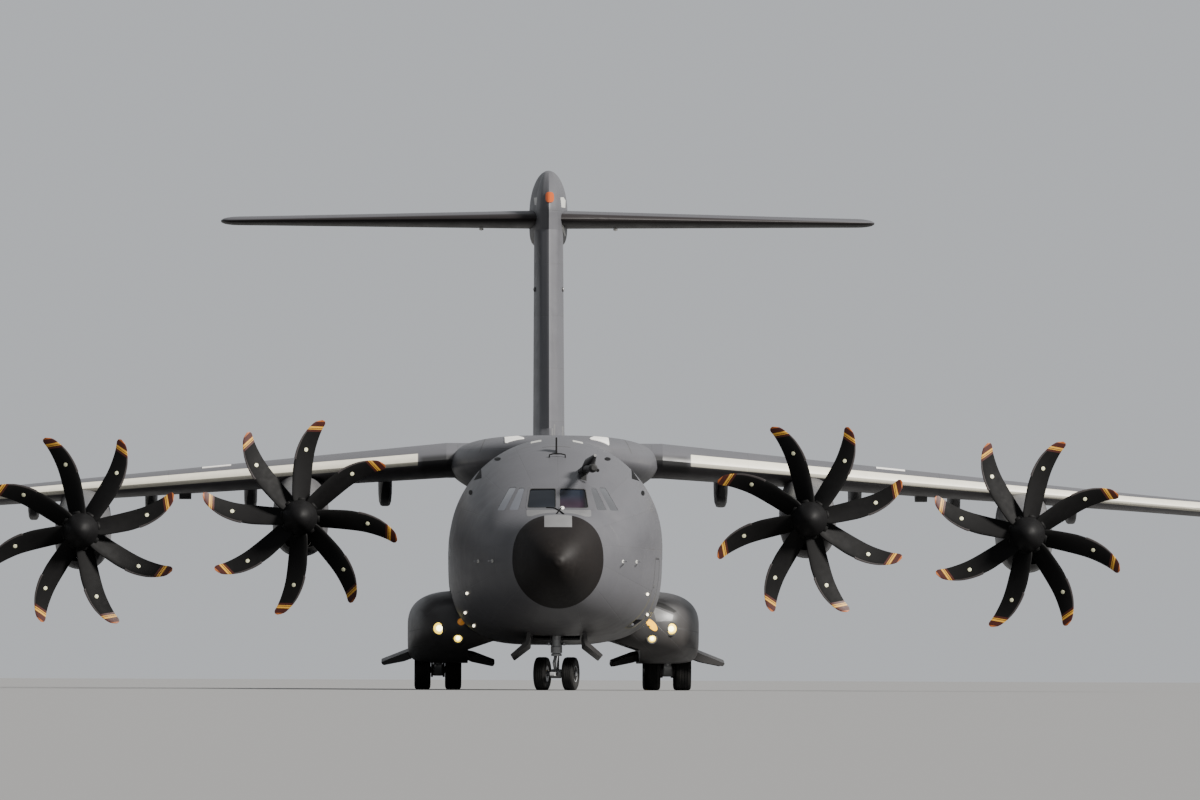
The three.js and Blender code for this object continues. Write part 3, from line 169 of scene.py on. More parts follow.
def rod(name, path, radius, sides=12):
    """A round tube along a path of points."""
    path = np.asarray(path, float)
    tangents = np.gradient(path, axis=0)
    tangents /= np.linalg.norm(tangents, axis=1)[:, None]
    side = np.cross(tangents[0], (0.31, 0.17, 0.93))  # any direction off the path
    rings = []
    angle = np.arange(sides) * 2 * np.pi / sides
    for point, along in zip(path, tangents):
        side = side - along * np.dot(side, along)
        side /= np.linalg.norm(side)
        third = np.cross(along, side)
        rings.append(point + radius * (np.cos(angle)[:, None] * side + np.sin(angle)[:, None] * third))
    return loft(name, rings)


def ring(centre, half_width, up, down, power, station, segments, up_power=2.0):
    """An oval ring square to the fore-and-aft axis. A higher power makes it squarer on that side."""
    angle = np.arange(segments) * 2 * np.pi / segments
    c, s = np.cos(angle), np.sin(angle)
    n = np.where(s >= 0, up_power, power)
    reach = (np.abs(c) ** n + np.abs(s) ** n) ** (-1 / n)
    x = centre[0] + half_width * reach * c
    z = centre[1] + np.where(s >= 0, up, down) * reach * s
    return np.stack([x, np.full(segments, station), z], axis=1)


def carve(piece, *tools, keep=False):
    """Cuts closed solids out of a piece, or keeps only what lies in them, and uses the solids up."""
    for tool in tools:
        modifier = piece.modifiers.new("carve", "BOOLEAN")
        modifier.operation = "INTERSECT" if keep else "DIFFERENCE"
        modifier.solver = "MANIFOLD"
        modifier.object = tool
    graph = bpy.context.evaluated_depsgraph_get()
    mesh = bpy.data.meshes.new_from_object(piece.evaluated_get(graph))
    piece.modifiers.clear()
    old, piece.data = piece.data, mesh
    mesh.name = old.name
    bpy.data.meshes.remove(old)
    for tool in tools:
        bpy.data.objects.remove(tool)
    return piece


def common(piece, *tools):
    return carve(piece, *tools, keep=True)


def duplicate(piece, name=None):
    twin = piece.copy()
    twin.data = piece.data.copy()
    twin.name = name or piece.name
    bpy.context.collection.objects.link(twin)
    return twin


def flip(piece):
    """Reflects a piece to the other side of the plane."""
    piece.data.transform(Matrix.Scale(-1, 4, (1, 0, 0)))
    piece.data.flip_normals()
    return piece


def steered(piece, degrees, station):
    """Turns a piece about an upright line through the centreline."""
    centre = Vector(in_frame((0, station, 0))[0])
    turn = Matrix.Rotation(math.radians(degrees), 4, "Z")
    piece.data.transform(Matrix.Translation(centre) @ turn @ Matrix.Translation(-centre))
    return piece


def merged(name, *pieces):
    """One object from several, each of which keeps its materials."""
    edit = bmesh.new()
    slots = []
    for piece in pieces:
        start = len(edit.faces)
        edit.from_mesh(piece.data)
        edit.faces.ensure_lookup_table()
        used = [slots.index(m) if m in slots else len(slots) + i for i, m in enumerate(piece.data.materials)]
        slots += [m for m in piece.data.materials if m not in slots]
        for face in edit.faces[start:]:
            face.material_index = used[face.material_index] if used else 0
    mesh = bpy.data.meshes.new(name)
    edit.to_mesh(mesh)
    edit.free()
    for material in slots:
        mesh.materials.append(material)
    for piece in pieces:
        bpy.data.objects.remove(piece)
    result = bpy.data.objects.new(name, mesh)
    bpy.context.collection.objects.link(result)
    return result


def painted(piece, material):
    piece.data.materials.clear()
    piece.data.materials.append(material)
    return piece


def assembled(name, parts):
    """One object from (piece, material) pairs."""
    return merged(name, *(painted(piece, material) for piece, material in parts))


def place(piece, body, slot, material=None, replaces=(), sharp=32):
    """Finishes a piece: smooth shading, its material, its body, and the nodes that it stands for."""
    if material is not None:
        painted(piece, material)
    piece.data.shade_smooth()
    piece.data.set_sharp_from_angle(angle=math.radians(sharp))
    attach(piece, body)
    if replaces:
        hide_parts(*([replaces] if isinstance(replaces, str) else replaces))
    return piece


# Materials
class Paint:
    """A small node kit for one material. Positions in it are full-size (x, station, height)."""

    def __init__(self, name, roughness=0.5, metallic=0.0, **fixed):
        self.material = bpy.data.materials.new(name)
        self.material.use_nodes = True
        self.tree = self.material.node_tree
        self.shader = self.tree.nodes["Principled BSDF"]
        self.shader.inputs["Roughness"].default_value = roughness
        self.shader.inputs["Metallic"].default_value = metallic
        for key, value in fixed.items():
            self.shader.inputs[key.replace("_", " ")].default_value = value
        coords = self.node("ShaderNodeTexCoord").outputs["Object"]
        offset = (0, LENGTH / 2, 0)
        self.at = self.vector("MULTIPLY_ADD", coords, (1 / SCALE,) * 3, offset)
        split = self.node("ShaderNodeSeparateXYZ")
        self.link(self.at, split.inputs[0])
        self.x, self.s, self.z = split.outputs
        self.side = self.math("ABSOLUTE", self.x)
        self.bump_from = None

    def node(self, kind, **settings):
        node = self.tree.nodes.new(kind)
        for key, value in settings.items():
            setattr(node, key, value)
        return node

    def link(self, source, socket):
        if isinstance(source, bpy.types.NodeSocket):
            self.tree.links.new(source, socket)
        elif source is not None:
            value = (*source, 1) if hasattr(source, "__len__") and len(socket.default_value) == 4 else source
            socket.default_value = value
        return socket

    def math(self, operation, *values):
        node = self.node("ShaderNodeMath", operation=operation)
        for value, socket in zip(values, node.inputs):
            self.link(value, socket)
        return node.outputs[0]

    def times(self, a, b):
        return self.math("MULTIPLY", a, b)

    def plus(self, a, b):
        return self.math("ADD", a, b)

    def minus(self, a, b):
        return self.math("SUBTRACT", a, b)

    def vector(self, operation, *values):
        node = self.node("ShaderNodeVectorMath", operation=operation)
        for value, socket in zip(values, node.inputs):
            self.link(value, socket)
        return node.outputs[0]

    def combine(self, x, y, z=0.0):
        node = self.node("ShaderNodeCombineXYZ")
        for value, socket in zip((x, y, z), node.inputs):
            self.link(value, socket)
        return node.outputs[0]

    def between(self, value, low, high, to_low=0.0, to_high=1.0):
        """A smooth step from to_low to to_high while the value goes from low to high."""
        node = self.node("ShaderNodeMapRange", interpolation_type="SMOOTHSTEP")
        for given, socket in zip((value, low, high, to_low, to_high), node.inputs):
            self.link(given, socket)
        return node.outputs[0]

    def noise(self, scale, detail=3.0, stretch=(1, 1, 1)):
        node = self.node("ShaderNodeTexNoise")
        self.link(self.vector("MULTIPLY", self.at, stretch), node.inputs["Vector"])
        node.inputs["Scale"].default_value = scale
        node.inputs["Detail"].default_value = detail
        return node.outputs["Fac"]

    def mix(self, factor, a, b, blend="MIX"):
        node = self.node("ShaderNodeMix", data_type="RGBA", blend_type=blend)
        for value, index in ((factor, 0), (a, 6), (b, 7)):
            self.link(value, node.inputs[index])
        return node.outputs[2]

    def bricks(self, u, v, width, height, line):
        """Panels over (u, v): their random tint, and 1 along the seams between them."""
        node = self.node("ShaderNodeTexBrick", offset=0.35, squash=1.0)
        self.link(self.combine(u, v), node.inputs["Vector"])
        for key, shade in (("Color1", 0.0), ("Color2", 1.0), ("Mortar", 0.5)):
            node.inputs[key].default_value = (shade, shade, shade, 1)
        settings = {"Scale": 1.0, "Mortar Size": line, "Mortar Smooth": 0.4,
                    "Brick Width": width, "Row Height": height}
        for key, value in settings.items():
            node.inputs[key].default_value = value
        return node.outputs["Color"], node.outputs["Fac"]

    def shade(self, color, factor, amount):
        """Scales a colour by up to 1 ± amount as a factor goes from 0 to 1."""
        value = self.math("MULTIPLY_ADD", factor, 2 * amount, 1 - amount)
        return self.mix(1.0, color, self.combine(value, value, value), "MULTIPLY")

    def rough(self, value):
        self.link(value, self.shader.inputs["Roughness"])

    def bump(self, height, distance, strength=1.0):
        node = self.node("ShaderNodeBump")
        self.link(height, node.inputs["Height"])
        node.inputs["Distance"].default_value = distance * SCALE
        node.inputs["Strength"].default_value = strength
        if self.bump_from:
            self.link(self.bump_from, node.inputs["Normal"])
        self.bump_from = node.outputs[0]
        self.link(self.bump_from, self.shader.inputs["Normal"])

    def done(self, color):
        self.link(color, self.shader.inputs["Base Color"])
        return self.material


def grey(value, blue=0.0, warm=0.0):
    return (value * (1 + warm), value, value * (1 + blue))


# Painted skins
ALONG = (1, 0.3, 1)  # stretches a pattern fore and aft
HULL_MIDDLE, HULL_RADIUS = 3.85, 2.7
WING_SWEEP, FIN_SWEEP = 0.33, 0.6  # how far a panel's edge runs aft over a metre outwards or upwards
SKIN_ROUGHNESS, SEAM_WIDTH, SEAM_DEPTH = 0.45, 0.012, 0.006
SEAM_COLOR, BELLY_GRIME_AND_SHADE = (0.045, 0.045, 0.047), (0.016, 0.013, 0.011)
TINT, MOTTLE, STREAKS = 0.035, 0.05, 0.09  # how far each varies the colour


def panel_layout(p, layout):
    """Where a point is on the panels of a skin: lengthwise and across."""
    if layout == "hull":
        angle = p.math("ARCTAN2", p.x, p.minus(p.z, HULL_MIDDLE))
        return p.s, p.times(angle, HULL_RADIUS)
    if layout == "plan":
        return p.side, p.plus(p.s, p.times(p.side, -WING_SWEEP))
    if layout == "side":
        return p.plus(p.s, p.times(p.z, -FIN_SWEEP)), p.z
    return p.s, p.plus(p.z, p.side)


def skin(name, layout, base, belly=True, panels=(2.4, 1.1), gloss=0.3):
    """Painted skin with panel seams, a tint for each panel, grime streaks that run aft, a belly darkened by
    grime and painted shade if asked, and rivet-fine grain.
    """
    p = Paint(name, SKIN_ROUGHNESS, Specular_IOR_Level=gloss)
    tint, seams = p.bricks(*panel_layout(p, layout), *panels, SEAM_WIDTH)
    broad = p.noise(0.35, 4.0)
    fine = p.noise(3.0, 5.0)
    aft = p.noise(1.1, 4.0, (2.2, 0.22, 2.2))
    color = base
    for pattern, amount in ((tint, TINT), (broad, MOTTLE), (fine, MOTTLE), (aft, STREAKS)):
        color = p.shade(color, pattern, amount)
    # Darker towards the bottom: grime and painted shade of the underside
    if belly:
        patchy = p.between(p.noise(0.9, 5.0, ALONG), 0.25, 0.75, 0.5, 1.0)
        grime_and_shade = p.times(p.between(p.z, 2.9, 1.3), patchy)
        color = p.mix(p.times(grime_and_shade, 0.72), color, BELLY_GRIME_AND_SHADE)
    color = p.mix(p.times(seams, 0.45), color, SEAM_COLOR)
    wear = p.plus(p.times(fine, 0.16), p.times(aft, 0.14))
    p.rough(p.plus(wear, SKIN_ROUGHNESS - 0.15))
    p.bump(p.times(seams, -1.0), SEAM_DEPTH, 0.5)
    p.bump(p.noise(0.8, 2.0), SEAM_DEPTH, 0.25)
    return p, color


def skin_paint(*args, **options):
    p, color = skin(*args, **options)
    return p.done(color)


GREY = grey(0.048, blue=0.1)

p, color = skin("fuselage_paint", "hull", GREY)
# Grime behind the nose gear bay and along the sills
soot = p.times(p.between(p.s, 6.0, 8.5), p.between(p.z, 1.7, 1.15))
color = p.mix(p.times(soot, 0.35), color, grey(0.03))
FUSELAGE = p.done(color)

COMPOSITE = skin_paint("composite_paint", "side", GREY, belly=False, panels=(2.9, 1.6))
SPONSON_PAINT = skin_paint("sponson_paint", "box", grey(0.042, blue=0.04), panels=(2.1, 0.9))

p, color = skin("nacelle_paint", "box", grey(0.05, blue=0.05), belly=False, panels=(1.3, 0.75))
grime = p.between(p.noise(1.6, 5.0, ALONG), 0.35, 0.8)
color = p.mix(p.times(grime, 0.25), color, grey(0.04, warm=0.15))
# Each cowl is painted black behind its spinner: partly dark paint, partly painted shade. The outer propellers
# stand further aft than the inner ones.
INNER_PLANE, OUTER_PLANE, BETWEEN_PLANES = 12.4, 14.3, 9.7
outboard = p.math("GREATER_THAN", p.side, BETWEEN_PLANES)
further = p.times(outboard, OUTER_PLANE - INNER_PLANE)
behind = p.minus(p.minus(p.s, INNER_PLANE), further)
color = p.mix(p.between(behind, 0.5, 0.28, 0.0, 0.9), color, grey(0.008))
NACELLE_PAINT = p.done(color)


# Wing: grey above, darker below with painted shade, with a cream strip along its front edge that ends short
# of the fuselage
ROOT_X, ROOT_FRONT, ROOT_Z = 2.9, 14.6, 6.17  # of the chord line at the wing's root
EDGE_FALL, EDGE_SWEEP = 0.0805, 0.325  # of the front edge, over a metre outwards
STRIP_COLOR = (0.46, 0.44, 0.37)
p, color = skin("wing_paint", "plan", grey(0.056, blue=0.1), belly=False, panels=(2.6, 1.5))
out = p.minus(p.side, ROOT_X)
above = p.plus(p.minus(p.z, ROOT_Z), p.times(out, EDGE_FALL))
behind = p.minus(p.minus(p.s, ROOT_FRONT), p.times(out, EDGE_SWEEP))
# Painted shade on the underside
color = p.mix(p.between(above, -0.06, -0.2, 0.0, 0.6), color, grey(0.022, warm=0.25))
# Painted shade on the wing's front next to the fuselage
root = p.times(p.between(p.side, 3.7, 3.5), p.between(behind, 0.6, 0.3))
color = p.mix(p.times(root, p.between(above, 0.2, 0.05, 0.0, 0.85)), color, grey(0.014))
strip = p.times(p.between(behind, 0.225, 0.21), p.between(above, -0.11, -0.09))
strip = p.times(strip, p.between(p.side, 3.65, 3.68))
worn = p.between(p.noise(6.0, 4.0), 0.3, 0.75, 0.92, 1.0)
WING_PAINT = p.done(p.mix(p.times(strip, worn), color, STRIP_COLOR))

# Tailplane: its grey paint shows only along the top of its front edge, with painted shade, nearly black,
# below
p, color = skin("tail_paint", "plan", grey(0.05, blue=0.1), belly=False, panels=(2.6, 1.5), gloss=0.08)
SHADE_BELOW, TAIL_TAPER = 13.47, 0.0157
above = p.plus(p.minus(p.z, SHADE_BELOW), p.times(p.side, TAIL_TAPER))
TAIL_PAINT = p.done(p.mix(p.between(above, 0.0, -0.04, 0.0, 0.93), color, grey(0.009, warm=0.2)))

FIN_PAINT = skin_paint("fin_paint", "side", GREY, belly=False, panels=(2.6, 1.5))


def plain(name, color, roughness=0.5, spread=0.12, grain=8.0, metallic=0.0, bump=0.002, **fixed):
    """A finish of one colour with mottling, wear in its gloss, and a fine grain."""
    p = Paint(name, roughness, metallic, **fixed)
    mottle = p.noise(grain, 4.0)
    tone = p.shade(color, mottle, spread)
    tone = p.shade(tone, p.noise(grain * 0.2, 3.0), spread * 0.6)
    p.rough(p.math("MULTIPLY_ADD", mottle, 0.25, roughness - 0.125))
    if bump:
        p.bump(p.noise(grain * 5, 3.0), bump, 0.3)
    return p.done(tone)


def lamp(name, color, strength):
    p = Paint(name, 0.15)
    p.shader.inputs["Emission Color"].default_value = (*color, 1)
    p.shader.inputs["Emission Strength"].default_value = strength
    rings = p.node("ShaderNodeTexWave", wave_type="RINGS", rings_direction="SPHERICAL")
    p.link(p.at, rings.inputs["Vector"])
    rings.inputs["Scale"].default_value = 9.0
    return p.done(p.shade(color, rings.outputs["Fac"], 0.08))


LAMP_SMALL = lamp("small_lamp", (1.0, 0.93, 0.72), 3.0)
LAMP_WHITE = lamp("landing_lamp", (1.0, 0.97, 0.55), 6.0)
LAMP_RIM = lamp("landing_lamp_rim", (1.0, 0.7, 0.08), 2.2)
LAMP_AMBER = lamp("amber_lamp", (1.0, 0.5, 0.0), 0.5)
LAMP_DIM = lamp("dim_amber_lamp", (0.5, 0.2, 0.03), 0.35)
BEACON = lamp("beacon", (0.22, 0.04, 0.006), 0.1)
NAV_RED = lamp("port_light", (0.7, 0.02, 0.01), 0.6)
NAV_GREEN = lamp("starboard_light", (0.02, 0.5, 0.12), 0.6)

p = Paint("radome_coating", 0.6, Specular_IOR_Level=0.13)
soft = p.noise(0.9, 4.0)
specks = p.noise(9.0, 5.0)
color = p.shade(p.shade((0.004, 0.0031, 0.0028), soft, 0.25), specks, 0.2)
worn = p.times(p.between(p.s, 0.9, 0.0), p.between(specks, 0.45, 0.8))
color = p.mix(p.times(worn, 0.15), color, (0.02, 0.018, 0.016))
p.rough(p.math("MULTIPLY_ADD", specks, 0.2, 0.5))
RADOME = p.done(color)

GLASS = plain("window_glass", (0.005, 0.006, 0.008), 0.08, 0.3, 1.2, bump=0, Specular_IOR_Level=0.3)
# Painted reflection on the port windscreen: a blue sky at the top, a pink cloud below, and a dark edge
# outboard
REFLECTED_SKY, REFLECTED_CLOUD, REFLECTED_EDGE = (0.007, 0.009, 0.014), (0.014, 0.009, 0.014), (0.006, 0.006, 0.007)
p = Paint("window_glass_painted_reflection", 0.12, Specular_IOR_Level=0.2)
tint = p.mix(p.between(p.z, 5.15, 4.85), REFLECTED_SKY, REFLECTED_CLOUD)
GLASS_PAINTED_REFLECTION = p.done(p.mix(p.between(p.x, 0.6, 0.74), p.shade(tint, p.noise(3.0), 0.3), REFLECTED_EDGE))
# Side window panes painted with reflections: bright on the starboard side, dim on the port side
SIDE_PANE_BRIGHT_REFLECTION = plain("side_pane_bright_reflection", (0.058, 0.061, 0.071), 0.2, 0.15, 1.5, bump=0,
                   Coat_Weight=0.4, Coat_Roughness=0.1)
SIDE_PANE_DIM_REFLECTION = plain("side_pane_dim_reflection", (0.033, 0.034, 0.037), 0.25, 0.15, 1.5, bump=0,
                   Coat_Weight=0.3, Coat_Roughness=0.15)
SEALANT = plain("sealant", grey(0.03), 0.62, 0.2, 14.0)
PALE_GREY = plain("pale_grey_paint", grey(0.078, blue=0.02), 0.45, 0.08, 5.0)
# Near-black grey for the pods and hardpoint under the wing and the probe's fairing: painted shade
PAINTED_SHADE_GREY = plain("painted_shade_grey", grey(0.013, blue=0.1), 0.5, 0.2, 5.0)
WHITE = plain("white_paint", (0.6, 0.59, 0.56), 0.38, 0.04, 6.0)
DARK_PAINT = plain("dark_paint", grey(0.045), 0.5, 0.2, 9.0)
# Near black for the refuelling probe and an intake's mouth: painted shade
PAINTED_SHADE_DARK = plain("painted_shade_dark", grey(0.012), 0.55, 0.2, 9.0, Specular_IOR_Level=0.2)
BLACK = plain("black_coating", (0.003, 0.0029, 0.003), 0.65, 0.3, 6.0, Specular_IOR_Level=0.07)
SHEATH = plain("blade_sheath", grey(0.02, warm=0.2), 0.5, 0.2, 12.0, metallic=0.4)
SPINNER_PAINT = plain("spinner_coating", (0.003, 0.0029, 0.0031), 0.6, 0.18, 7.0, Specular_IOR_Level=0.1)
PALE_PANEL = plain("pale_panel", (0.3, 0.3, 0.28), 0.4, 0.06, 6.0)
YELLOW = plain("yellow_band", (0.36, 0.19, 0.02), 0.5, 0.1, 16.0, Specular_IOR_Level=0.25)
ORANGE = plain("orange_tip", (0.2, 0.055, 0.01), 0.5, 0.1, 16.0, Specular_IOR_Level=0.25)
RED_BROWN = plain("dark_red_band", (0.03, 0.006, 0.004), 0.5, 0.15, 16.0, Specular_IOR_Level=0.2)
DOT = plain("pale_dot", (0.42, 0.42, 0.28), 0.5, 0.05, 16.0)
# The line round a door is dull yellow low down and dark above
p = Paint("door_outline", 0.55)
line = p.mix(p.between(p.z, 2.2, 2.7), (0.1, 0.088, 0.03), grey(0.015))
LINE_YELLOW = p.done(p.shade(line, p.noise(12.0), 0.2))
# The gear's white enamel painted grey: painted shade under the plane
GEAR_ENAMEL_SHADED = plain("gear_enamel_painted_shade", (0.24, 0.245, 0.25), 0.35, 0.1, 9.0)
DOOR_PAINT = plain("gear_door_paint", grey(0.02, warm=0.05), 0.5, 0.2, 4.0, Specular_IOR_Level=0.3)
CHROME = plain("polished_piston", (0.78, 0.79, 0.8), 0.12, 0.05, 10.0, metallic=1.0, bump=0)
STEEL = plain("bare_steel", (0.2, 0.2, 0.21), 0.42, 0.15, 12.0, metallic=0.9)
HOSE = plain("rubber_hose", grey(0.02), 0.6, 0.2, 20.0)
BRAKE = plain("brake_carbon", grey(0.05, warm=0.1), 0.65, 0.25, 18.0)
HOT_METAL = plain("exhaust_metal", (0.16, 0.125, 0.1), 0.42, 0.35, 5.0, metallic=0.85)
ENGINE = plain("engine_castings", (0.17, 0.17, 0.165), 0.45, 0.25, 10.0, metallic=0.7)
CABIN = plain("cabin_lining", (0.16, 0.165, 0.17), 0.65, 0.15, 5.0)
BAY_PAINT = plain("bay_primer", (0.3, 0.31, 0.29), 0.55, 0.15, 4.0)

p = Paint("tyre_rubber", 0.72, Specular_IOR_Level=0.2)
grain = p.noise(26.0, 4.0)
dust = p.between(p.noise(4.0, 4.0), 0.45, 0.75)
rubber = p.shade((0.006, 0.0058, 0.0056), grain, 0.3)
color = p.mix(p.times(dust, 0.2), rubber, (0.03, 0.027, 0.023))
p.bump(grain, 0.003, 0.4)
p.rough(p.math("MULTIPLY_ADD", grain, 0.2, 0.62))
TYRE = p.done(color)

p = Paint("cargo_floor_metal", 0.48, 0.4)
tint, seams = p.bricks(p.s, p.x, 1.02, 0.51, 0.01)
studs = p.node("ShaderNodeTexVoronoi", feature="DISTANCE_TO_EDGE")
p.link(p.at, studs.inputs["Vector"])
studs.inputs["Scale"].default_value = 9.0
color = p.shade(p.shade((0.16, 0.165, 0.16), tint, 0.08), p.noise(2.0, 5.0), 0.2)
color = p.mix(p.times(seams, 0.7), color, grey(0.03))
p.bump(studs.outputs["Distance"], 0.004, 0.4)
FLOOR_METAL = p.done(color)


# Fuselage
# station, height of the widest line, half width, rise above it, drop below it, lower squareness
HULL = [
    [0.0, 3.33, 0.04, 0.04, 0.04, 2.0],
    [0.12, 3.335, 0.24, 0.23, 0.24, 2.0],
    [0.45, 3.345, 0.56, 0.54, 0.57, 2.0],
    [1.0, 3.36, 0.88, 0.87, 0.91, 2.0],
    [1.7, 3.38, 1.19, 1.2, 1.25, 2.0],
    [2.2, 3.45, 1.52, 1.23, 1.52, 2.1],
    [2.7, 3.52, 1.8, 1.27, 1.74, 2.3],
    [3.1, 3.57, 1.97, 1.52, 1.88, 2.4],
    [3.5, 3.61, 2.11, 1.76, 1.99, 2.5],
    [4.1, 3.66, 2.29, 1.95, 2.12, 2.7],
    [4.8, 3.71, 2.45, 2.15, 2.26, 2.9],
    [5.6, 3.76, 2.6, 2.36, 2.39, 3.1],
    [6.6, 3.81, 2.72, 2.58, 2.51, 3.3],
    [7.8, 3.84, 2.79, 2.75, 2.59, 3.45],
    [9.2, 3.85, 2.82, 2.82, 2.62, 3.5],
    [26.9, 3.85, 2.82, 2.82, 2.62, 3.5],
    [28.6, 3.93, 2.81, 2.74, 2.42, 3.4],
    [31.0, 4.13, 2.7, 2.53, 1.98, 3.1],
    [34.0, 4.46, 2.38, 2.18, 1.48, 2.7],
    [37.0, 4.9, 1.87, 1.71, 1.05, 2.4],
    [40.0, 5.35, 1.22, 1.14, 0.63, 2.2],
    [42.3, 5.72, 0.58, 0.56, 0.35, 2.0],
    [43.1, 5.86, 0.14, 0.16, 0.1, 2.0],
]
HULL_SEGMENTS = 112
RADOME_END, FORWARD_END, CENTRE_END, TAIL_END = 1.7, 9.2, 26.9, 43.1
RADOME_NOTCH = {"half": 0.36, "foot": 4.25}  # pale patch at the top of the radome


def up_power(station):
    """Squareness above the widest line: the nose has square shoulders under the windscreen."""
    return float(np.interp(station, (0, 0.6, 2.2, 4.2), (2, 2.45, 2.45, 2)))


def hull(name, s1, s2, grow=0.0):
    """The fuselage between two stations, made thicker or thinner all round."""
    fine = np.linspace(math.sqrt(s1), math.sqrt(min(s2, FORWARD_END)), 60) ** 2 if s1 < FORWARD_END else []
    marks = np.concatenate([[s1, s2, CENTRE_END], fine, np.arange(27, 43, 0.35)])
    stations = np.unique(marks[(marks >= s1) & (marks <= s2)])
    rings = []
    for s, (z, *sizes, power) in zip(stations, smooth_table(HULL, stations, np.sqrt)):
        w, up, down = (max(size + grow, 0.004) for size in sizes)
        rings.append(ring((0, z), w, up, down, power, s, HULL_SEGMENTS, up_power(s)))
    return loft(name, rings)


def hull_at(station):
    return smooth_table(HULL, [station], np.sqrt)[0]


def hull_side(station, z):
    """Half width of the fuselage at a height."""
    middle, w, up, down, power = hull_at(station)
    part, n = ((z - middle) / up, up_power(station)) if z > middle else ((middle - z) / down, power)
    return w * max(1 - min(part, 1) ** n, 0) ** (1 / n)


def patch(name, outline, axis, low, high, around, outer=0.005, inner=-0.02, hole=None):
    """A piece of the fuselage's surface inside an outline, a little proud of the skin or below it."""
    tool = prism(name, outline, axis, low, high)
    if hole:
        carve(tool, prism("hole", hole, axis, low - 1, high + 1))
    common(tool, hull("outer", *around, outer))
    return carve(tool, hull("inner", around[0] - 0.05, around[1] + 0.05, inner))


def front_station(x, z):
    """Where the nose's skin is behind a point of the front view."""
    low, high = 0.3, FORWARD_END
    for _ in range(22):
        middle = (low + high) / 2
        low, high = (low, middle) if abs(x) < hull_side(middle, z) else (middle, high)
    return high


def mark(name, outline, material, slot="skin_aluminium", proud=0.004):
    """A patch of another finish on the nose, drawn as seen from the front."""
    stations = [front_station(x, z) for x, z in outline]
    s1, s2 = min(stations) - 0.08, max(stations) + 0.08
    piece = patch(name, outline, "s", s1, s2, (s1 - 0.3, s2 + 0.3), proud)
    place(piece, AIRFRAME, slot, material)


def oval(a, b, half_a, half_b, sides=24):
    angle = np.arange(sides) * 2 * np.pi / sides
    return [(a + half_a * math.cos(t), b + half_b * math.sin(t)) for t in angle]


def shell(name, s1, s2, lining1, lining2):
    """The fuselage's wall between two stations, hollow between two others."""
    return carve(hull(name, s1, s2), hull("lining", lining1, lining2, -WALL))


def grown(outline, amount):
    """The outline with each corner moved away from its middle."""
    middle = np.mean(outline, axis=0)
    sizes = np.ptp(np.asarray(outline, float), axis=0) / 2
    return [tuple(middle + (np.asarray(p) - middle) * (1 + amount / sizes)) for p in outline]


# Radome, with the pale patch that the fuselage paint makes in its top edge
half = RADOME_NOTCH["half"]
notch = rectangle(-half, half, RADOME_NOTCH["foot"], 6)
radome = carve(hull("radome_shell", 0, RADOME_END - SEAM), prism("notch", notch, "s", 0.5, 3))
place(radome, AIRFRAME, "radome_black", RADOME, "radome")
pale = common(hull("radome_patch", 0, RADOME_END - SEAM), prism("notch", notch, "s", 0.5, 3))
place(pale, AIRFRAME, "skin_aluminium", PALE_GREY)
core = hull("radome_bulkhead", RADOME_END - 0.25, RADOME_END + 0.06, -0.03)
place(core, AIRFRAME, "skin_aluminium", SEALANT)

# Windscreen and side windows, drawn as seen from the front, for the port side
WINDOWS = [
    [(0.04, 4.75), (0.815, 4.75), (0.735, 5.28), (0.04, 5.29)],
    [(1.03, 4.69), (1.3, 4.69), (1.0, 5.3), (0.85, 5.3)],
    [(1.39, 4.68), (1.61, 4.68), (1.25, 5.32), (1.06, 5.32)],
]
GLASS_DEPTH, SIDE_PANE_DEPTH = 0.03, 0.006
BAY = {"half": 0.62, "front": 4.35, "back": 6.25, "roof": 2.35, "wall": 0.08}
CREW_DOOR = {"front": 5.55, "back": 6.45, "sill": 1.68, "top": 3.45, "hinge": (2.0, 1.74), "pin": 0.035}
SIDE_DOOR = {"front": 25.5, "back": 26.45, "sill": 1.72, "top": 3.75}
COCKPIT = (2.15, 4.75)  # stations of the windows
COCKPIT_CUT = (2.1, 4.74)  # where their outlines are swept


def flipped(outline, side):
    return [(side * a, b) for a, b in outline]


def window(i, side, grow=0.0, radius=0.06):
    return rounded(flipped(grown(WINDOWS[i], grow) if grow else WINDOWS[i], side), radius)


def door_outline(door, grow=0.0, radius=0.16):
    s1, s2, z1, z2 = door["front"] - grow, door["back"] + grow, door["sill"] - grow, door["top"] + grow
    return rounded(rectangle(s1, s2, z1, z2), radius, 6)


def bay_box(name, low=0, wall=0.0):
    """The nose gear bay's space, or a block that takes in its walls."""
    half, front, back, roof = (BAY[key] for key in ("half", "front", "back", "roof"))
    return box(name, -half - wall, half + wall, front - wall, back + wall, low, roof + wall)


def door_line(name, door, width, proud, reach, around):
    """The painted line round a door's gap."""
    line = patch(name, door_outline(door, width), "x", *reach, around, proud, hole=door_outline(door, 0.028))
    place(line, AIRFRAME, "skin_aluminium", LINE_YELLOW)


def beyond(side, near=1, far=4):
    """The span of x in which a tool reaches one side of the plane."""
    return sorted((side * near, side * far))


forward = shell("forward_shell", RADOME_END, FORWARD_END - SEAM, RADOME_END + WALL, FORWARD_END + 1)
holes = [prism("window", window(i, side), "s", 2.2, 4.7) for i in range(3) for side in (1, -1)]
holes.append(bay_box("bay"))
holes.append(prism("door", door_outline(CREW_DOOR, GAP), "x", 1, 3.5))
carve(forward, *holes)
place(forward, AIRFRAME, "skin_aluminium", FUSELAGE, "forward_fuselage")

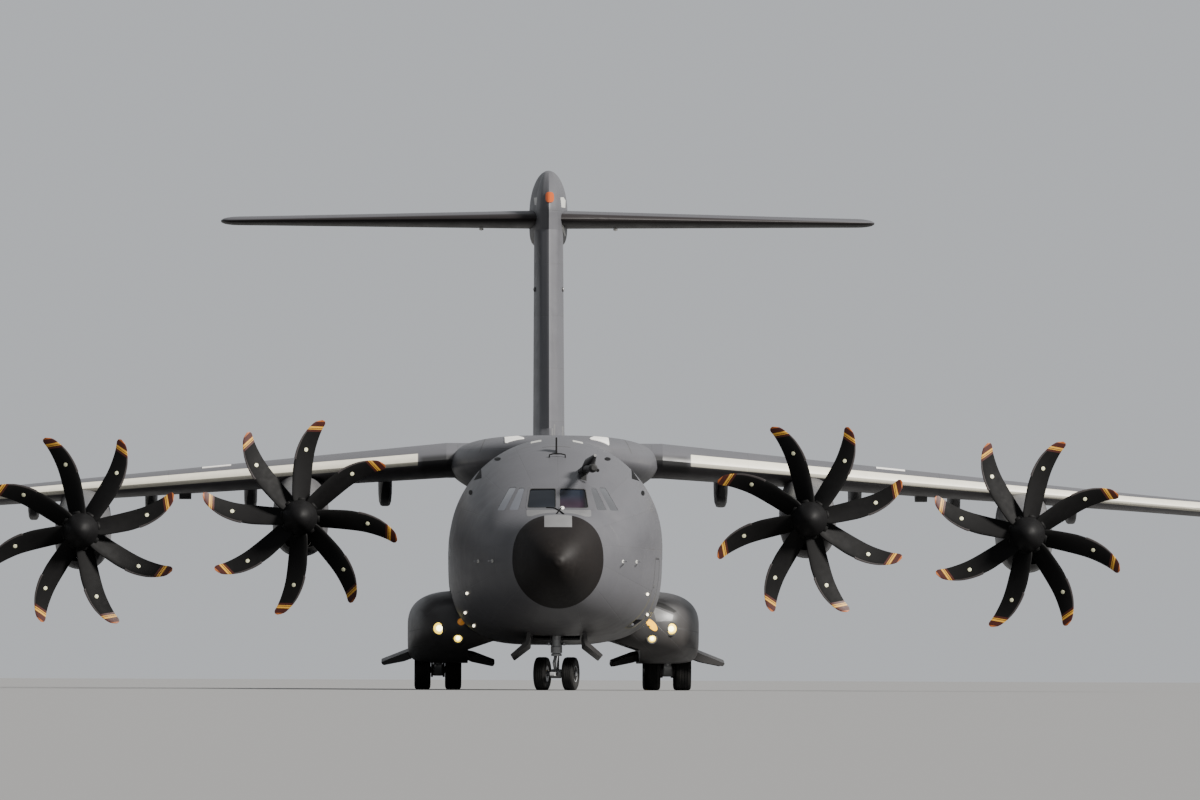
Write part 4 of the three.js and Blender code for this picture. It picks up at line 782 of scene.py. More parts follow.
panes = []
for i in range(3):
    depth = GLASS_DEPTH if i == 0 else SIDE_PANE_DEPTH
    for side, label in SIDES:
        pane = patch("pane", window(i, side, 0.03), "s", *COCKPIT_CUT, COCKPIT, -depth, -depth - 0.03)
        paints = (GLASS_PAINTED_REFLECTION, SIDE_PANE_DIM_REFLECTION) if side == PORT else (GLASS, SIDE_PANE_BRIGHT_REFLECTION)
        panes.append((pane, paints[min(i, 1)]))
        seal = patch(f"window_seal_{i + 1}_{label}", window(i, side, 0.004), "s", *COCKPIT_CUT, COCKPIT,
                     -0.003, -depth - 0.02, window(i, side, -0.02, 0.05))
        place(seal, AIRFRAME, "windscreen", SEALANT if i == 0 else FUSELAGE)
        if i == 0:
            rim = patch(f"window_frame_{label}", window(i, side, 0.035, 0.08), "s", *COCKPIT_CUT, COCKPIT,
                        0.006, hole=window(i, side, -0.004))
            place(rim, AIRFRAME, "skin_aluminium", FUSELAGE)
place(assembled("cockpit_panes", panes), AIRFRAME, "windscreen", None, "cockpit_glazing")

# Pale apron under the windscreen, painted light where the nose faces up, with a painted glint beside the
# wipers
mark("windscreen_apron", rounded(rectangle(-0.82, 0.87, 4.53, 4.72), 0.05), PALE_GREY)
mark("windscreen_glint", oval(0.12, 4.765, 0.05, 0.045), WHITE, proud=0.02)


def on_nose(x, z, out=0.0):
    return (x, front_station(x, z) - out, z + 0.4 * out)


# Wipers, parked across the foot of the windscreen
WIPERS = {
    "port": [(0.15, 4.59), (0.04, 4.68), (-0.09, 4.75), (-0.3, 4.76)],
    "starboard": [(-0.03, 4.6), (0.03, 4.68), (0.1, 4.76)],
}
for label, corners in WIPERS.items():
    path = straight_table([(i, *p) for i, p in enumerate(corners)], np.linspace(0, len(corners) - 1, 9))
    wiper = rod(f"wiper_{label}", [on_nose(x, z, 0.03) for x, z in path], 0.016)
    place(wiper, AIRFRAME, "windscreen", BLACK)

# Probes, lamps, inlets and marks on the nose, drawn as seen from the front
PITOTS = [(1.71, 3.37), (2.075, 3.37)]
LAMPS = [(-2.36, 2.535), (-2.4, 2.03), (-2.17, 1.69), (2.386, 2.53), (2.405, 2.0)]
for side, label in SIDES:
    for i, (x, z) in enumerate(PITOTS):
        at = np.array(on_nose(side * x, z))
        mark(f"pitot_base_{i + 1}_{label}", oval(side * x, z, 0.03, 0.045), PALE_PANEL)
        tube = [at, at + (side * 0.09, -0.02, 0), at + (side * 0.1, -0.12, 0), at + (side * 0.1, -0.26, 0)]
        place(rod(f"pitot_tube_{i + 1}_{label}", tube, 0.014), AIRFRAME, "gear_steel", STEEL)
    # Black patches stand in for openings: painted shade of their insides
    mark(f"nose_inlet_{label}", oval(side * 1.45 - 0.11, 6.1, 0.085, 0.05), BLACK)
    mark(f"nose_vent_{label}", oval(side * 2.27, 5.2, 0.05, 0.07), BLACK)
    mark(f"wing_root_inlet_{label}", [(side * 1.98, 5.58), (side * 2.19, 5.53), (side * 1.99, 5.86)], BLACK)
for i, (x, z) in enumerate(LAMPS):
    mark(f"hull_lamp_{i + 1}", oval(x, z, 0.034, 0.036), LAMP_SMALL, "windscreen", 0.015)

# Roof: an aerial, a low rail, a seam, and two pale hatches
TOP = [
    ("roof_hatch_port", (0.43, 0.7), (7.9, 8.5), PALE_PANEL),
    ("roof_hatch_starboard", (-0.68, -0.4), (7.9, 8.5), PALE_PANEL),
    ("roof_seam", (-0.38, 0.36), (6.74, 6.77), SEALANT),
]
for name, xs, (s1, s2), material in TOP:
    piece = patch(name, rectangle(*xs, s1, s2), "z", 5, 7.5, (s1 - 0.5, s2 + 0.5))
    place(piece, AIRFRAME, "skin_aluminium", material)
aerial = rounded([(5.95, 6.1), (6.3, 6.1), (6.25, 6.62), (6.08, 6.66)], 0.04)
place(prism("roof_aerial", aerial, "x", -0.04, 0.005), AIRFRAME, "skin_aluminium", BLACK)
rail = [(-0.21, 6.07), (-0.2, 6.19), (-0.1, 6.215), (0.1, 6.215), (0.21, 6.19), (0.22, 6.07)]
place(rod("roof_rail", [(x, 5.62, z) for x, z in rail], 0.018), AIRFRAME, "skin_aluminium", BLACK)

# Nose gear bay, closed again in front of the leg
half, roof = BAY["half"], BAY["roof"]
cover = box("nose_bay_cover", SEAM - half, half - SEAM, BAY["front"] + SEAM, 5.0, 1, 2)
common(cover, hull("outer", 3.8, 5.6, -CLEAR))
place(carve(cover, hull("inner", 3.7, 5.7, -0.05)), AIRFRAME, "skin_aluminium", FUSELAGE)
bay = common(bay_box("nose_bay", 1.2, BAY["wall"]), hull("inside", 3.5, 7.5, -0.05))
place(carve(bay, bay_box("inner")), AIRFRAME, "cabin", BAY_PAINT)
for i, s in enumerate(np.linspace(BAY["front"] + 0.2, BAY["back"] - 0.2, 6)):
    rib = box(f"nose_bay_rib_{i + 1}", -half, half, s - 0.02, s + 0.02, roof - 0.06, roof)
    place(rib, AIRFRAME, "cabin", BAY_PAINT)
for side, label in SIDES:
    pipe = [(side * 0.52, s, 2.2 + 0.03 * math.sin(3 * s)) for s in np.linspace(4.4, 6.2, 16)]
    place(rod(f"nose_bay_pipe_{label}", pipe, 0.022), AIRFRAME, "gear_steel", STEEL)

# Crew door, hinged along its sill
hinge_x, hinge_z = CREW_DOOR["hinge"]
door = shell("crew_door_panel", 5, 7, 4.5, 7.5)
common(door, prism("door", door_outline(CREW_DOOR), "x", 1, 3.5))
carve(door, box("lower edge", hinge_x - 0.02, 3.5, 4.5, 7.5, 0, hinge_z + 0.13))
place(door, "crew_door", "skin_aluminium", FUSELAGE, "crew_door")
reach = GAP - CLEAR
ends = [(hinge_x, s, hinge_z) for s in (CREW_DOOR["front"] - reach, CREW_DOOR["back"] + reach)]
place(bar("crew_door_pins", *ends, CREW_DOOR["pin"]), "crew_door", "gear_steel", STEEL)
for i, z in enumerate((1.95, 2.25, 2.55, 2.85)):
    inside = hull_side(6, z) - WALL
    tread = rectangle(inside - 0.13, inside + 0.02, z - 0.018, z + 0.018)
    place(prism(f"crew_door_step_{i + 1}", tread, "s", 5.68, 6.32), "crew_door", "floor", FLOOR_METAL)
door_line("crew_door_outline", CREW_DOOR, 0.045, 0.003, (1.5, 3.5), (5, 7))
handle = rounded(rectangle(5.68, 5.86, 2.7, 2.79), 0.02)
handle = patch("crew_door_handle", handle, "x", 2, 3.5, (5, 7), 0.012)
place(handle, "crew_door", "skin_aluminium", DARK_PAINT)

# Middle of the fuselage, with its paratroop doors
centre = shell("centre_shell", FORWARD_END, CENTRE_END - SEAM, FORWARD_END - 1, CENTRE_END + 1)
carve(centre, *(prism("door", door_outline(SIDE_DOOR, SEAM), "x", *beyond(side)) for side in (1, -1)))
place(centre, AIRFRAME, "skin_aluminium", FUSELAGE, "centre_fuselage")
for side, label in SIDES:
    name, around = f"paratroop_door_{label}", (25, 26.89)
    door = shell(f"{name}_panel", 25, CENTRE_END - 0.01, 24.5, 27.4)
    common(door, prism("door", door_outline(SIDE_DOOR), "x", *beyond(side)))
    place(door, AIRFRAME, "skin_aluminium", FUSELAGE, name)
    door_line(f"{name}_outline", SIDE_DOOR, 0.05, 0.0035, beyond(side), around)
    port_hole = rounded(rectangle(25.86, 26.09, 3.1, 3.42), 0.09, 6)
    port_hole = patch(f"{name}_window", port_hole, "x", *beyond(side), around, 0.004)
    place(port_hole, AIRFRAME, "windscreen", GLASS)

# Cargo hold windows along the sides
for side, label in SIDES:
    reach = beyond(side, 2, 3.5)
    for i, s in enumerate((8.3, 11.6)):
        at = rounded(rectangle(s - 0.14, s + 0.14, 3.5, 3.86), 0.1, 6)
        around = (s - 1, s + 1)
        glass = patch(f"side_window_{i + 1}_{label}", at, "x", *reach, around, 0.003)
        place(glass, AIRFRAME, "windscreen", GLASS)
        rim = patch(f"side_window_frame_{i + 1}_{label}", grown(at, 0.035), "x", *reach, around, hole=at)
        place(rim, AIRFRAME, "skin_aluminium", DARK_PAINT)

# Tail end, with the ramp and the cargo door in its underside
RAMP = {"hinge": (27.62, 1.44), "nose": 0.17, "back": 32.9, "half": 1.9, "pin": 0.06}
RAMP_EDGE = {"height": 0.34, "lean": 0.14, "clear": 0.6}
CARGO_DOOR = {
    "front": 32.95, "back": 38.1, "front_half": 1.78, "back_half": 1.12, "hinge": (38.02, 4.42), "pin": 0.05,
}
AFT_CAVITY_END = 40.6


def belly(station):
    """Height of the fuselage's lowest line."""
    row = straight_table(HULL, station)
    return row[0] - row[3]


def ramp_prism(grow):
    s, back, half = RAMP["hinge"][0], RAMP["back"], RAMP["half"] + grow
    foot = belly(back)
    lip = (back - RAMP_EDGE["lean"] + grow, foot + RAMP_EDGE["height"] + 1.5 * grow)
    outline = [(s, 0), (back + grow, 0), (back + grow, foot), lip, (s, FLOOR_Z + 1.5 * grow)]
    return prism("ramp", outline, "x", -half, half)


def ramp_bar(name, half, radius, rise=0.0, sides=48):
    """A round bar on the ramp's hinge line, or above it."""
    s, z = RAMP["hinge"]
    return bar(name, (-half, s, z + rise), (half, s, z + rise), radius, sides=sides)


def cargo_door_prism(grow):
    d = CARGO_DOOR
    front, back = (d["front_half"] + grow, d["front"] - grow), (d["back_half"] + grow, d["back"] + grow)
    return prism("cargo door", [(-front[0], front[1]), front, back, (-back[0], back[1])], "z", 0, 4.75)


def aft_shell(name):
    return carve(hull(name, CENTRE_END, TAIL_END), hull("lining", CENTRE_END - 1, AFT_CAVITY_END, -WALL))


hinge_s = RAMP["hinge"][0]
across = RAMP["half"] + GAP
edge_top = belly(RAMP["back"]) + RAMP_EDGE["clear"]
aft = carve(
    aft_shell("aft_shell"),
    ramp_prism(GAP),
    box("edge", -across, across, RAMP["back"] - 2 * RAMP_EDGE["lean"], CARGO_DOOR["front"], 0, edge_top),
    box("sill", -across, across, hinge_s - 0.02, CARGO_DOOR["front"], 0.5, FLOOR_Z + 0.1),
    ramp_bar("nose", across, RAMP["nose"] + GAP),
    cargo_door_prism(GAP),
)
place(aft, AIRFRAME, "skin_aluminium", FUSELAGE, "aft_fuselage")

ramp = common(ramp_prism(0), hull("limit", CENTRE_END - 1, 40))
half = RAMP["half"]
nose = common(ramp_bar("nose", half, RAMP["nose"]), hull("limit", 26, 40))
ramp = merged("cargo_ramp_panel", painted(ramp, FUSELAGE), painted(nose, FUSELAGE))
place(ramp, "cargo_ramp", "skin_aluminium", None, "cargo_ramp")
pins = common(ramp_bar("cargo_ramp_pins", across - CLEAR, RAMP["pin"], 0.1, 24), hull("limit", 26, 40, -0.02))
place(pins, "cargo_ramp", "gear_steel", STEEL)
edge = half - 0.12
for i in range(9):
    s = hinge_s + 0.45 + i * 0.56
    share = (s - hinge_s) / (RAMP["back"] - RAMP_EDGE["lean"] - hinge_s)
    top = FLOOR_Z + share * (belly(RAMP["back"]) + RAMP_EDGE["height"] - FLOOR_Z)
    tread = box(f"cargo_ramp_tread_{i + 1}", -edge, edge, s - 0.02, s + 0.02, top - 0.05, top + 0.014)
    place(tread, "cargo_ramp", "floor", FLOOR_METAL)

hinge_s, hinge_z = CARGO_DOOR["hinge"]
door = common(aft_shell("cargo_door_panel"), cargo_door_prism(0))
carve(door, box("upper edge", -3, 3, hinge_s, hinge_s + 1, hinge_z, hinge_z + 1))
place(door, "cargo_door", "skin_composite", FUSELAGE, "cargo_door")
reach = hinge_s + CARGO_DOOR["pin"] - CARGO_DOOR["front"] + GAP
share = reach / (CARGO_DOOR["back"] - CARGO_DOOR["front"] + 2 * GAP)
wide = CARGO_DOOR["front_half"] + GAP + share * (CARGO_DOOR["back_half"] - CARGO_DOOR["front_half"])
for side, label in SIDES:
    ends = [(side * x, hinge_s, hinge_z) for x in (0.95, wide - CLEAR)]
    place(bar(f"cargo_door_pin_{label}", *ends, CARGO_DOOR["pin"]), "cargo_door", "gear_steel", STEEL)


# Wing
# distance from the centreline, leading edge station, chord, thickness, height of the chord line
WING = [
    [2.9, 14.6, 7.1, 0.94, 6.17],
    [9.5, 16.745, 5.55, 0.7, 5.639],
    [15.4, 18.66, 4.138, 0.487, 5.164],
    [20.7, 20.385, 2.87, 0.33, 4.737],
    [21.05, 20.62, 2.55, 0.2, 4.709],
    [21.2, 20.9, 2.1, 0.07, 4.697],
]
WING_ROOT, WING_TIP = 2.9, 21.2
TRAILING_EDGE = 0.014
CHORD_STEPS = 26


def half_thickness(share):
    """The classic four-digit aerofoil's, over its thickness, at a share of the chord."""
    return 5 * (0.2969 * np.sqrt(share) - 0.126 * share - 0.3516 * share**2
                + 0.2843 * share**3 - 0.1015 * share**4)


def aerofoil(front, chord, thickness, grow=0.0, wedge=0.0):
    """(station, height) round an aerofoil, from its upper trailing edge to the lower one.

    Its nose is a flat-sided wedge as far back as the share of the chord that is given."""
    share = (1 - np.cos(np.linspace(np.pi, 0, CHORD_STEPS))) / 2
    if wedge:
        share = np.sort([*share, wedge])[::-1]
    flat = half_thickness(wedge) * (0.05 + 0.95 * share / max(wedge, 0.001))
    shape = np.where(share < wedge, flat, half_thickness(share))
    half = thickness * shape + np.where(share == 1, TRAILING_EDGE, 0) + grow
    station = front + share * chord + grow * (2 * share - 1)
    half[-1] = 0 if grow == 0 else grow
    upper = np.stack([station, half], axis=1)
    lower = np.stack([station[::-1], -half[::-1]], axis=1)
    return np.vstack([upper, lower[1:]]) if half[-1] == 0 else np.vstack([upper, lower])


def wing_row(x):
    """Leading edge station, chord, thickness and height of the wing at x."""
    return smooth_table(WING, [abs(x)])[0]


def wing_ring(x, grow=0.0):
    front, chord, thickness, height = wing_row(x)
    return [(x, s, height + t) for s, t in aerofoil(front, chord, thickness, grow)]


def wing_solid(name, x1, x2, grow=0.0, step=0.7):
    inner = np.arange(x1 + step, min(x2, 20.6), step)
    tip = [v for v in (20.7, 20.8, 20.9, 20.98, 21.04, 21.09, 21.13, 21.17) if v < x2]
    return loft(name, [wing_ring(x, grow) for x in sorted({x1, x2, *inner, *tip})])


class Hinge:
    """A frame on a hinge line: along it, aft of it, and above it."""

    def __init__(self, start, end):
        self.start = np.asarray(start, float)
        along = np.asarray(end, float) - self.start
        self.length = np.linalg.norm(along)
        self.along = along / self.length
        self.up = np.cross(self.along, AFT)
        self.up /= np.linalg.norm(self.up)
        self.back = np.cross(self.up, self.along)

    def point(self, x, y, z):
        return self.start + x * self.along + y * self.back + z * self.up

    def block(self, x1, x2, y1, y2, z1, z2):
        corners = rectangle(y1, y2, z1, z2)
        return loft("block", [[self.point(x, y, z) for y, z in corners] for x in (x1, x2)])

    def cone(self, x1, x2, r1, r2, sides=40):
        circle = [(math.cos(a), math.sin(a)) for a in np.arange(sides) * 2 * np.pi / sides]
        rings = [[self.point(x, r * c, r * s) for c, s in circle] for x, r in ((x1, r1), (x2, r2))]
        return loft("cone", rings)


FAR, FAR_AFT = 3.0, 4.0  # beyond any surface
PIN_DEPTH = 0.1


def split_control(body, name, start, end, radii, pin):
    """Takes a control surface with a round nose out of a body and returns it with its pins."""
    hinge = Hinge(start, end)
    size, (r1, r2) = hinge.length, radii
    moving = duplicate(body, name)
    nose = common(duplicate(body, "nose"), hinge.cone(0, size, r1, r2))
    common(moving, hinge.block(0, size, 0, FAR_AFT, -FAR, FAR))
    carve(body, hinge.block(-GAP, size + GAP, 0, FAR_AFT, -FAR, FAR),
          hinge.cone(-GAP, size + GAP, r1 + COVE, r2 + COVE))
    pins = [hinge.cone(CLEAR - GAP, PIN_DEPTH, pin, pin),
            hinge.cone(size - PIN_DEPTH, size + GAP - CLEAR, pin, pin)]
    return merged(name, moving, nose), [painted(part, STEEL) for part in pins]


# Flaps turn about a line below the wing: inner and outer end, and where their pods are
FLAPS = {"inner": (3.8, 9.4, (4.55, 8.2)), "outer": (9.62, 15.25, (10.9, 14.1))}
FLAP_FRONT, HINGE_DROP, POD_DROP, LAP_RADIUS = 0.75, 0.105, 0.15, 0.17
AILERON = {"from": 15.5, "to": 20.45, "share": 0.74, "pin": 0.035}
# share of the chord, half width, rise above and drop below a line under the wing
POD = [
    [0.36, 0.03, 0.02, 0.02],
    [0.5, 0.17, 0.09, 0.44],
    [0.75, 0.19, 0.14, 0.6],
    [0.94, 0.15, 0.15, 0.44],
    [1.1, 0.03, 0.02, 0.1],
]
POD_LINE, POD_SIZED_FOR, POD_DEEPEST, POD_SQUARENESS = 0.4, 6.7, 0.6, 5


def chord_point(x, share, drop=0.0):
    """A point of the wing by its share of the chord, and how far below the chord line by the same measure."""
    front, chord, _, height = wing_row(x)
    return x, front + share * chord, height - drop * chord


def flap_pod(x):
    front, chord, thickness, height = wing_row(x)
    size = chord / POD_SIZED_FOR
    rings = []
    for share in np.linspace(POD[0][0], POD[-1][0], 40):
        half, up, down = smooth_table(POD, [share])[0]
        line = height - thickness * max(half_thickness(min(share, 1)), 0.04) * POD_LINE
        lower = np.interp(share, (0.36, 0.52, 0.94, 1.1), (0, 1, 1, 0)) * (POD_DROP * chord - 0.75 * size)
        drop = down * size + lower * down / POD_DEEPEST + 0.12 * size
        rings.append(ring((x, line), half * math.sqrt(size), up * size, drop, POD_SQUARENESS,
                          front + share * chord, 32))
    return loft("pod", rings)


def split_flap(wing, name, flap):
    """Takes a flap and the moving halves of its pods out of the wing: (fixed pods, moving pieces)."""
    start, stop, pods = flap
    hinge = Hinge(chord_point(start, FLAP_FRONT, HINGE_DROP), chord_point(stop, FLAP_FRONT, HINGE_DROP))
    size, keep = hinge.length, LAP_RADIUS + GAP
    panel = common(duplicate(wing, name), hinge.block(0, size, 0, FAR_AFT, -1, FAR))
    carve(wing, hinge.block(-GAP, size + GAP, -GAP, FAR_AFT, -1, FAR))
    fixed, moving = [], [panel]
    for x in pods:
        lap = (x - start) / (stop - start) * size
        pod = flap_pod(x)
        fixed.append(carve(duplicate(pod), hinge.block(-5, size + 5, -keep, 5, -FAR, FAR)))
        moving.append(carve(duplicate(pod), hinge.block(-5, size + 5, -5, keep, -FAR, FAR)))
        for group, near, far, y1, y2 in (
            (fixed, lap - 1, lap - HAIR, -keep - 0.02, 0),
            (moving, lap + HAIR, lap + 1, 0, keep + 0.02),
        ):
            group.append(common(duplicate(pod), hinge.block(near, far, y1, y2, -LAP_RADIUS, LAP_RADIUS)))
            group.append(common(duplicate(pod), hinge.cone(near, far, LAP_RADIUS, LAP_RADIUS)))
        bpy.data.objects.remove(pod)
    return fixed, moving


HARDPOINT = {"x": 9.95, "half": 0.16, "front": 0.22, "back": 0.52, "bottom": 5.12}


def hardpoint():
    x, half, low = (HARDPOINT[key] for key in ("x", "half", "bottom"))
    front, chord, _, height = wing_row(x)
    s1, s2 = front + HARDPOINT["front"] * chord, front + HARDPOINT["back"] * chord
    outline = rounded([(s1, height), (s1 + 0.3, low), (s2 - 0.5, low), (s2, height)], 0.2, 6)
    return prism("hardpoint", outline, "x", x - half, x + half)


def both_sides(name, body, slot, material, replaces, build):
    """Makes a port piece and its mirror image."""
    port = build(f"{name}_port")
    starboard = flip(duplicate(port, f"{name}_starboard"))
    for piece, (_, label) in zip((port, starboard), SIDES):
        place(piece, body.format(side=label), slot, material, replaces and replaces.format(side=label))


wing = wing_solid("wing_skin", WING_ROOT + CLEAR, WING_TIP)
pods, flaps = [], {}
for label, flap in FLAPS.items():
    kept, flaps[label] = split_flap(wing, f"{label} flap", flap)
    pods += kept
ends = [chord_point(AILERON[key], AILERON["share"]) for key in ("from", "to")]
radii = [wing_row(x)[2] * half_thickness(AILERON["share"]) for x, _, _ in ends]
aileron, aileron_pins = split_control(wing, "aileron", *ends, radii, AILERON["pin"])
fixed = [painted(wing, WING_PAINT), *(painted(part, PAINTED_SHADE_GREY) for part in (hardpoint(), *pods))]
both_sides("wing_skin", AIRFRAME, "skin_composite", None, "wing_{side}", lambda name: merged(name, *fixed))
for label, parts in flaps.items():
    pieces = [painted(part, PAINTED_SHADE_GREY if i else WING_PAINT) for i, part in enumerate(parts)]
    target = f"flap_{label}_{{side}}"
    both_sides(f"flap_{label}_skin", target, "skin_composite", None, target,
               lambda name: merged(name, *pieces))
both_sides("aileron_skin", "aileron_{side}", "skin_composite", None, "aileron_{side}",
           lambda name: merged(name, painted(aileron, WING_PAINT), *aileron_pins))

# Fairing over the middle of the wing: station, height of the widest line, half width, rise, drop
FAIRING = [
    [9.9, 6.3, 0.9, 0.36, 0.5],
    [10.8, 6.12, 1.72, 0.6, 0.75],
    [12.2, 6.02, 2.32, 0.74, 0.95],
    [13.8, 5.97, 2.66, 0.84, 1.1],
    [16.0, 5.95, 2.82, 0.89, 1.15],
    [21.0, 5.95, 2.82, 0.88, 1.15],
    [23.2, 6.0, 2.6, 0.81, 1.0],
    [25.2, 6.18, 1.95, 0.6, 0.7],
    [26.6, 6.4, 1.0, 0.3, 0.4],
]


HUMP_BELOW, HUMP_ABOVE = 1.45, 2.9  # squareness below and above the widest line
ROOT_SPAN = (0, 2.9, 3.5, 4.5)


def hump(name, grow=0.0):
    stations = np.linspace(FAIRING[0][0], FAIRING[-1][0], 70)
    rings = [ring((0, z), w + grow, up + grow, down + grow, HUMP_BELOW, s, 96, HUMP_ABOVE)
             for s, (z, w, up, down) in zip(stations, smooth_table(FAIRING, stations))]
    return loft(name, rings)


def wing_root(side):
    """A wing's root, carried on to the centreline."""
    rows = [(x, wing_ring(max(x, WING_ROOT), CLEAR)) for x in ROOT_SPAN]
    return loft("root", [[(side * x, s, z) for _, s, z in row] for x, row in rows])


roots = (wing_root(side) for side in (1, -1))
fairing = carve(hump("wing_fairing_skin"), hull("under", FORWARD_END - 1, 30, CLEAR), *roots)
place(fairing, AIRFRAME, "skin_composite", COMPOSITE, "wing_fairing")
centre_wing = [[(x, s, z) for _, s, z in wing_ring(WING_ROOT)] for x in (-WING_ROOT, WING_ROOT)]
place(loft("wing_box_skin", centre_wing), AIRFRAME, "skin_composite", WING_PAINT, "wing_box")

# White panels on the front of the hump, seen from above, and the aerials along its top
for side, label in SIDES:
    inner, outer = (0.9, 1.42) if side == PORT else (0.84, 1.35)
    outline = flipped([(inner, 10.6), (outer, 10.6), (outer, 12.9), (inner + 0.14, 12.9)], side)
    panel = common(prism(f"hump_panel_{label}", rounded(outline, 0.05), "z", 6, 7), hump("outer", 0.02))
    place(carve(panel, hump("inner", -0.02)), AIRFRAME, "skin_composite", WHITE)
    seam = flipped([(2.04, 6.31), (2.02, 6.31), (1.84, 6.74), (1.86, 6.74)], side)
    seam = common(prism(f"hump_seam_{label}", seam, "s", 10, 16), hump("outer", 0.002))
    place(carve(seam, hump("inner", -0.02)), AIRFRAME, "skin_composite", SEALANT)
for i, (s, x) in enumerate(((15.2, 0.0), (18.6, 0.25), (22.4, 0.0))):
    blade = rounded([(s, 6.6), (s + 0.36, 6.6), (s + 0.32, 7.12), (s + 0.2, 7.14)], 0.05)
    blade = prism(f"hump_aerial_{i + 1}", blade, "x", x - 0.02, x + 0.02)
    place(blade, AIRFRAME, "skin_composite", PALE_GREY)

# Fin and rudder: height, leading edge station, chord, thickness
FIN = [
    [5.6, 31.4, 9.6, 0.92],
    [6.7, 32.6, 8.75, 0.9],
    [7.3, 34.15, 7.4, 0.88],
    [12.98, 38.4, 5.13, 0.82],
]
RUDDER = {"from": 7.75, "to": 12.3, "share": 0.68, "pin": 0.06}
FIN_WEDGE = 0.05  # share of the chord over which its front edge is a wedge


def fin_solid(name, grow=0.0):
    rings = []
    for z in np.unique([*np.arange(5.6, 7.3, 0.1), *np.linspace(7.3, 12.98, 12)]):
        front, chord, thickness = straight_table(FIN, z)
        rings.append([(t, s, z + grow) for s, t in aerofoil(front, chord, thickness, grow, FIN_WEDGE)])
    return loft(name, rings)


def fin_hinge(z):
    front, chord, thickness = straight_table(FIN, z)
    return (0, front + RUDDER["share"] * chord, z), thickness * half_thickness(RUDDER["share"])


fin = carve(fin_solid("fin_skin"), hull("tail", CENTRE_END, TAIL_END, CLEAR))
(foot, r1), (head, r2) = fin_hinge(RUDDER["from"]), fin_hinge(RUDDER["to"])
rudder, pins = split_control(fin, "rudder_skin", foot, head, (r1, r2), RUDDER["pin"])
place(fin, AIRFRAME, "skin_composite", FIN_PAINT, "fin")
place(merged("rudder_skin", painted(rudder, FIN_PAINT), *pins), "rudder", "skin_composite", None, "rudder")

# Tailplane and elevators: distance from the centreline, leading edge station, chord, thickness
TAIL_Z = 13.3
TAIL = [
    [0, 38.9, 4.9, 0.52],
    [8.9, 42.4, 2.3, 0.24],
    [9.2, 42.6, 2.1, 0.16],
    [9.3, 42.85, 1.75, 0.06],
]
ELEVATOR = {"from": 0.95, "to": 8.8, "share": 0.7, "pin": 0.035}


def tail_row(x):
    """The table's row at x: straight as far as the tip, which is round."""
    return straight_table(TAIL, abs(x)) if abs(x) < 8.8 else smooth_table(TAIL, [abs(x)])[0]


def tail_solid(name, grow=0.0):
    xs = [*np.linspace(0, 8.8, 9), 8.95, 9.05, 9.12, 9.18, 9.23, 9.27, 9.3]
    rings = []
    for x in [-v for v in xs[:0:-1]] + xs:
        front, chord, thickness = tail_row(x)
        rings.append([(x, s, TAIL_Z + t) for s, t in aerofoil(front, chord, thickness, grow)])
    return loft(name, rings)


tail = tail_solid("tailplane_skin")
for side, label in SIDES:
    ends, radii = [], []
    for x in (ELEVATOR["from"], ELEVATOR["to"]):
        front, chord, thickness = tail_row(x)
        ends.append((side * x, front + ELEVATOR["share"] * chord, TAIL_Z))
        radii.append(thickness * half_thickness(ELEVATOR["share"]))
    body = f"elevator_{label}"
    surface, pins = split_control(tail, f"{body}_skin", *ends, radii, ELEVATOR["pin"])
    place(merged(f"{body}_skin", painted(surface, TAIL_PAINT), *pins), body, "skin_composite", None, body)
place(tail, AIRFRAME, "skin_composite", TAIL_PAINT, "tailplane")

# Bullet where fin and tailplane meet: station, half width, rise, drop, about a height
BULLET_Z = 13.48
BULLET = [
    [38.5, 0.05, 0.08, 0.42],
    [38.7, 0.18, 0.3, 0.5],
    [39.05, 0.32, 0.6, 0.65],
    [39.5, 0.41, 0.88, 0.8],
    [40.1, 0.49, 1.1, 0.9],
    [40.8, 0.54, 1.22, 0.95],
    [42.6, 0.5, 1.08, 0.82],
    [44.2, 0.3, 0.6, 0.5],
    [LENGTH, 0.06, 0.12, 0.12],
]
# The fin's front edge carries on up the front of the bullet: height, edge's station, chord, thickness
PROW = [
    [12.98, 38.4, 5.13, 0.82],
    [13.5, 38.4, 4.9, 0.8],
    [14.0, 38.7, 4.3, 0.7],
    [14.3, 39.1, 3.6, 0.56],
    [14.5, 39.5, 2.8, 0.42],
    [14.62, 39.95, 1.8, 0.26],
]


BULLET_FRONT, BULLET_LENGTH, BULLET_SQUARENESS = 38.5, 6.6, 5


def bullet_shape(name, grow=0.0):
    stations = BULLET_FRONT + BULLET_LENGTH * np.linspace(0, 1, 60) ** 1.5
    rings = [ring((0, BULLET_Z), w + grow, up + grow, down + grow, BULLET_SQUARENESS, s, 64)
             for s, (w, up, down) in zip(stations, smooth_table(BULLET, stations))]
    return loft(name, rings)


def prow(name, grow=0.0):
    heights = [*np.linspace(12.981, 14.2, 13), 14.3, 14.4, 14.5, 14.56, 14.6, 14.62]
    rings = []
    for z, (front, chord, thickness) in zip(heights, smooth_table(PROW, heights)):
        rings.append([(t, s, z) for s, t in aerofoil(front, chord, thickness, grow, FIN_WEDGE)])
    return loft(name, rings)


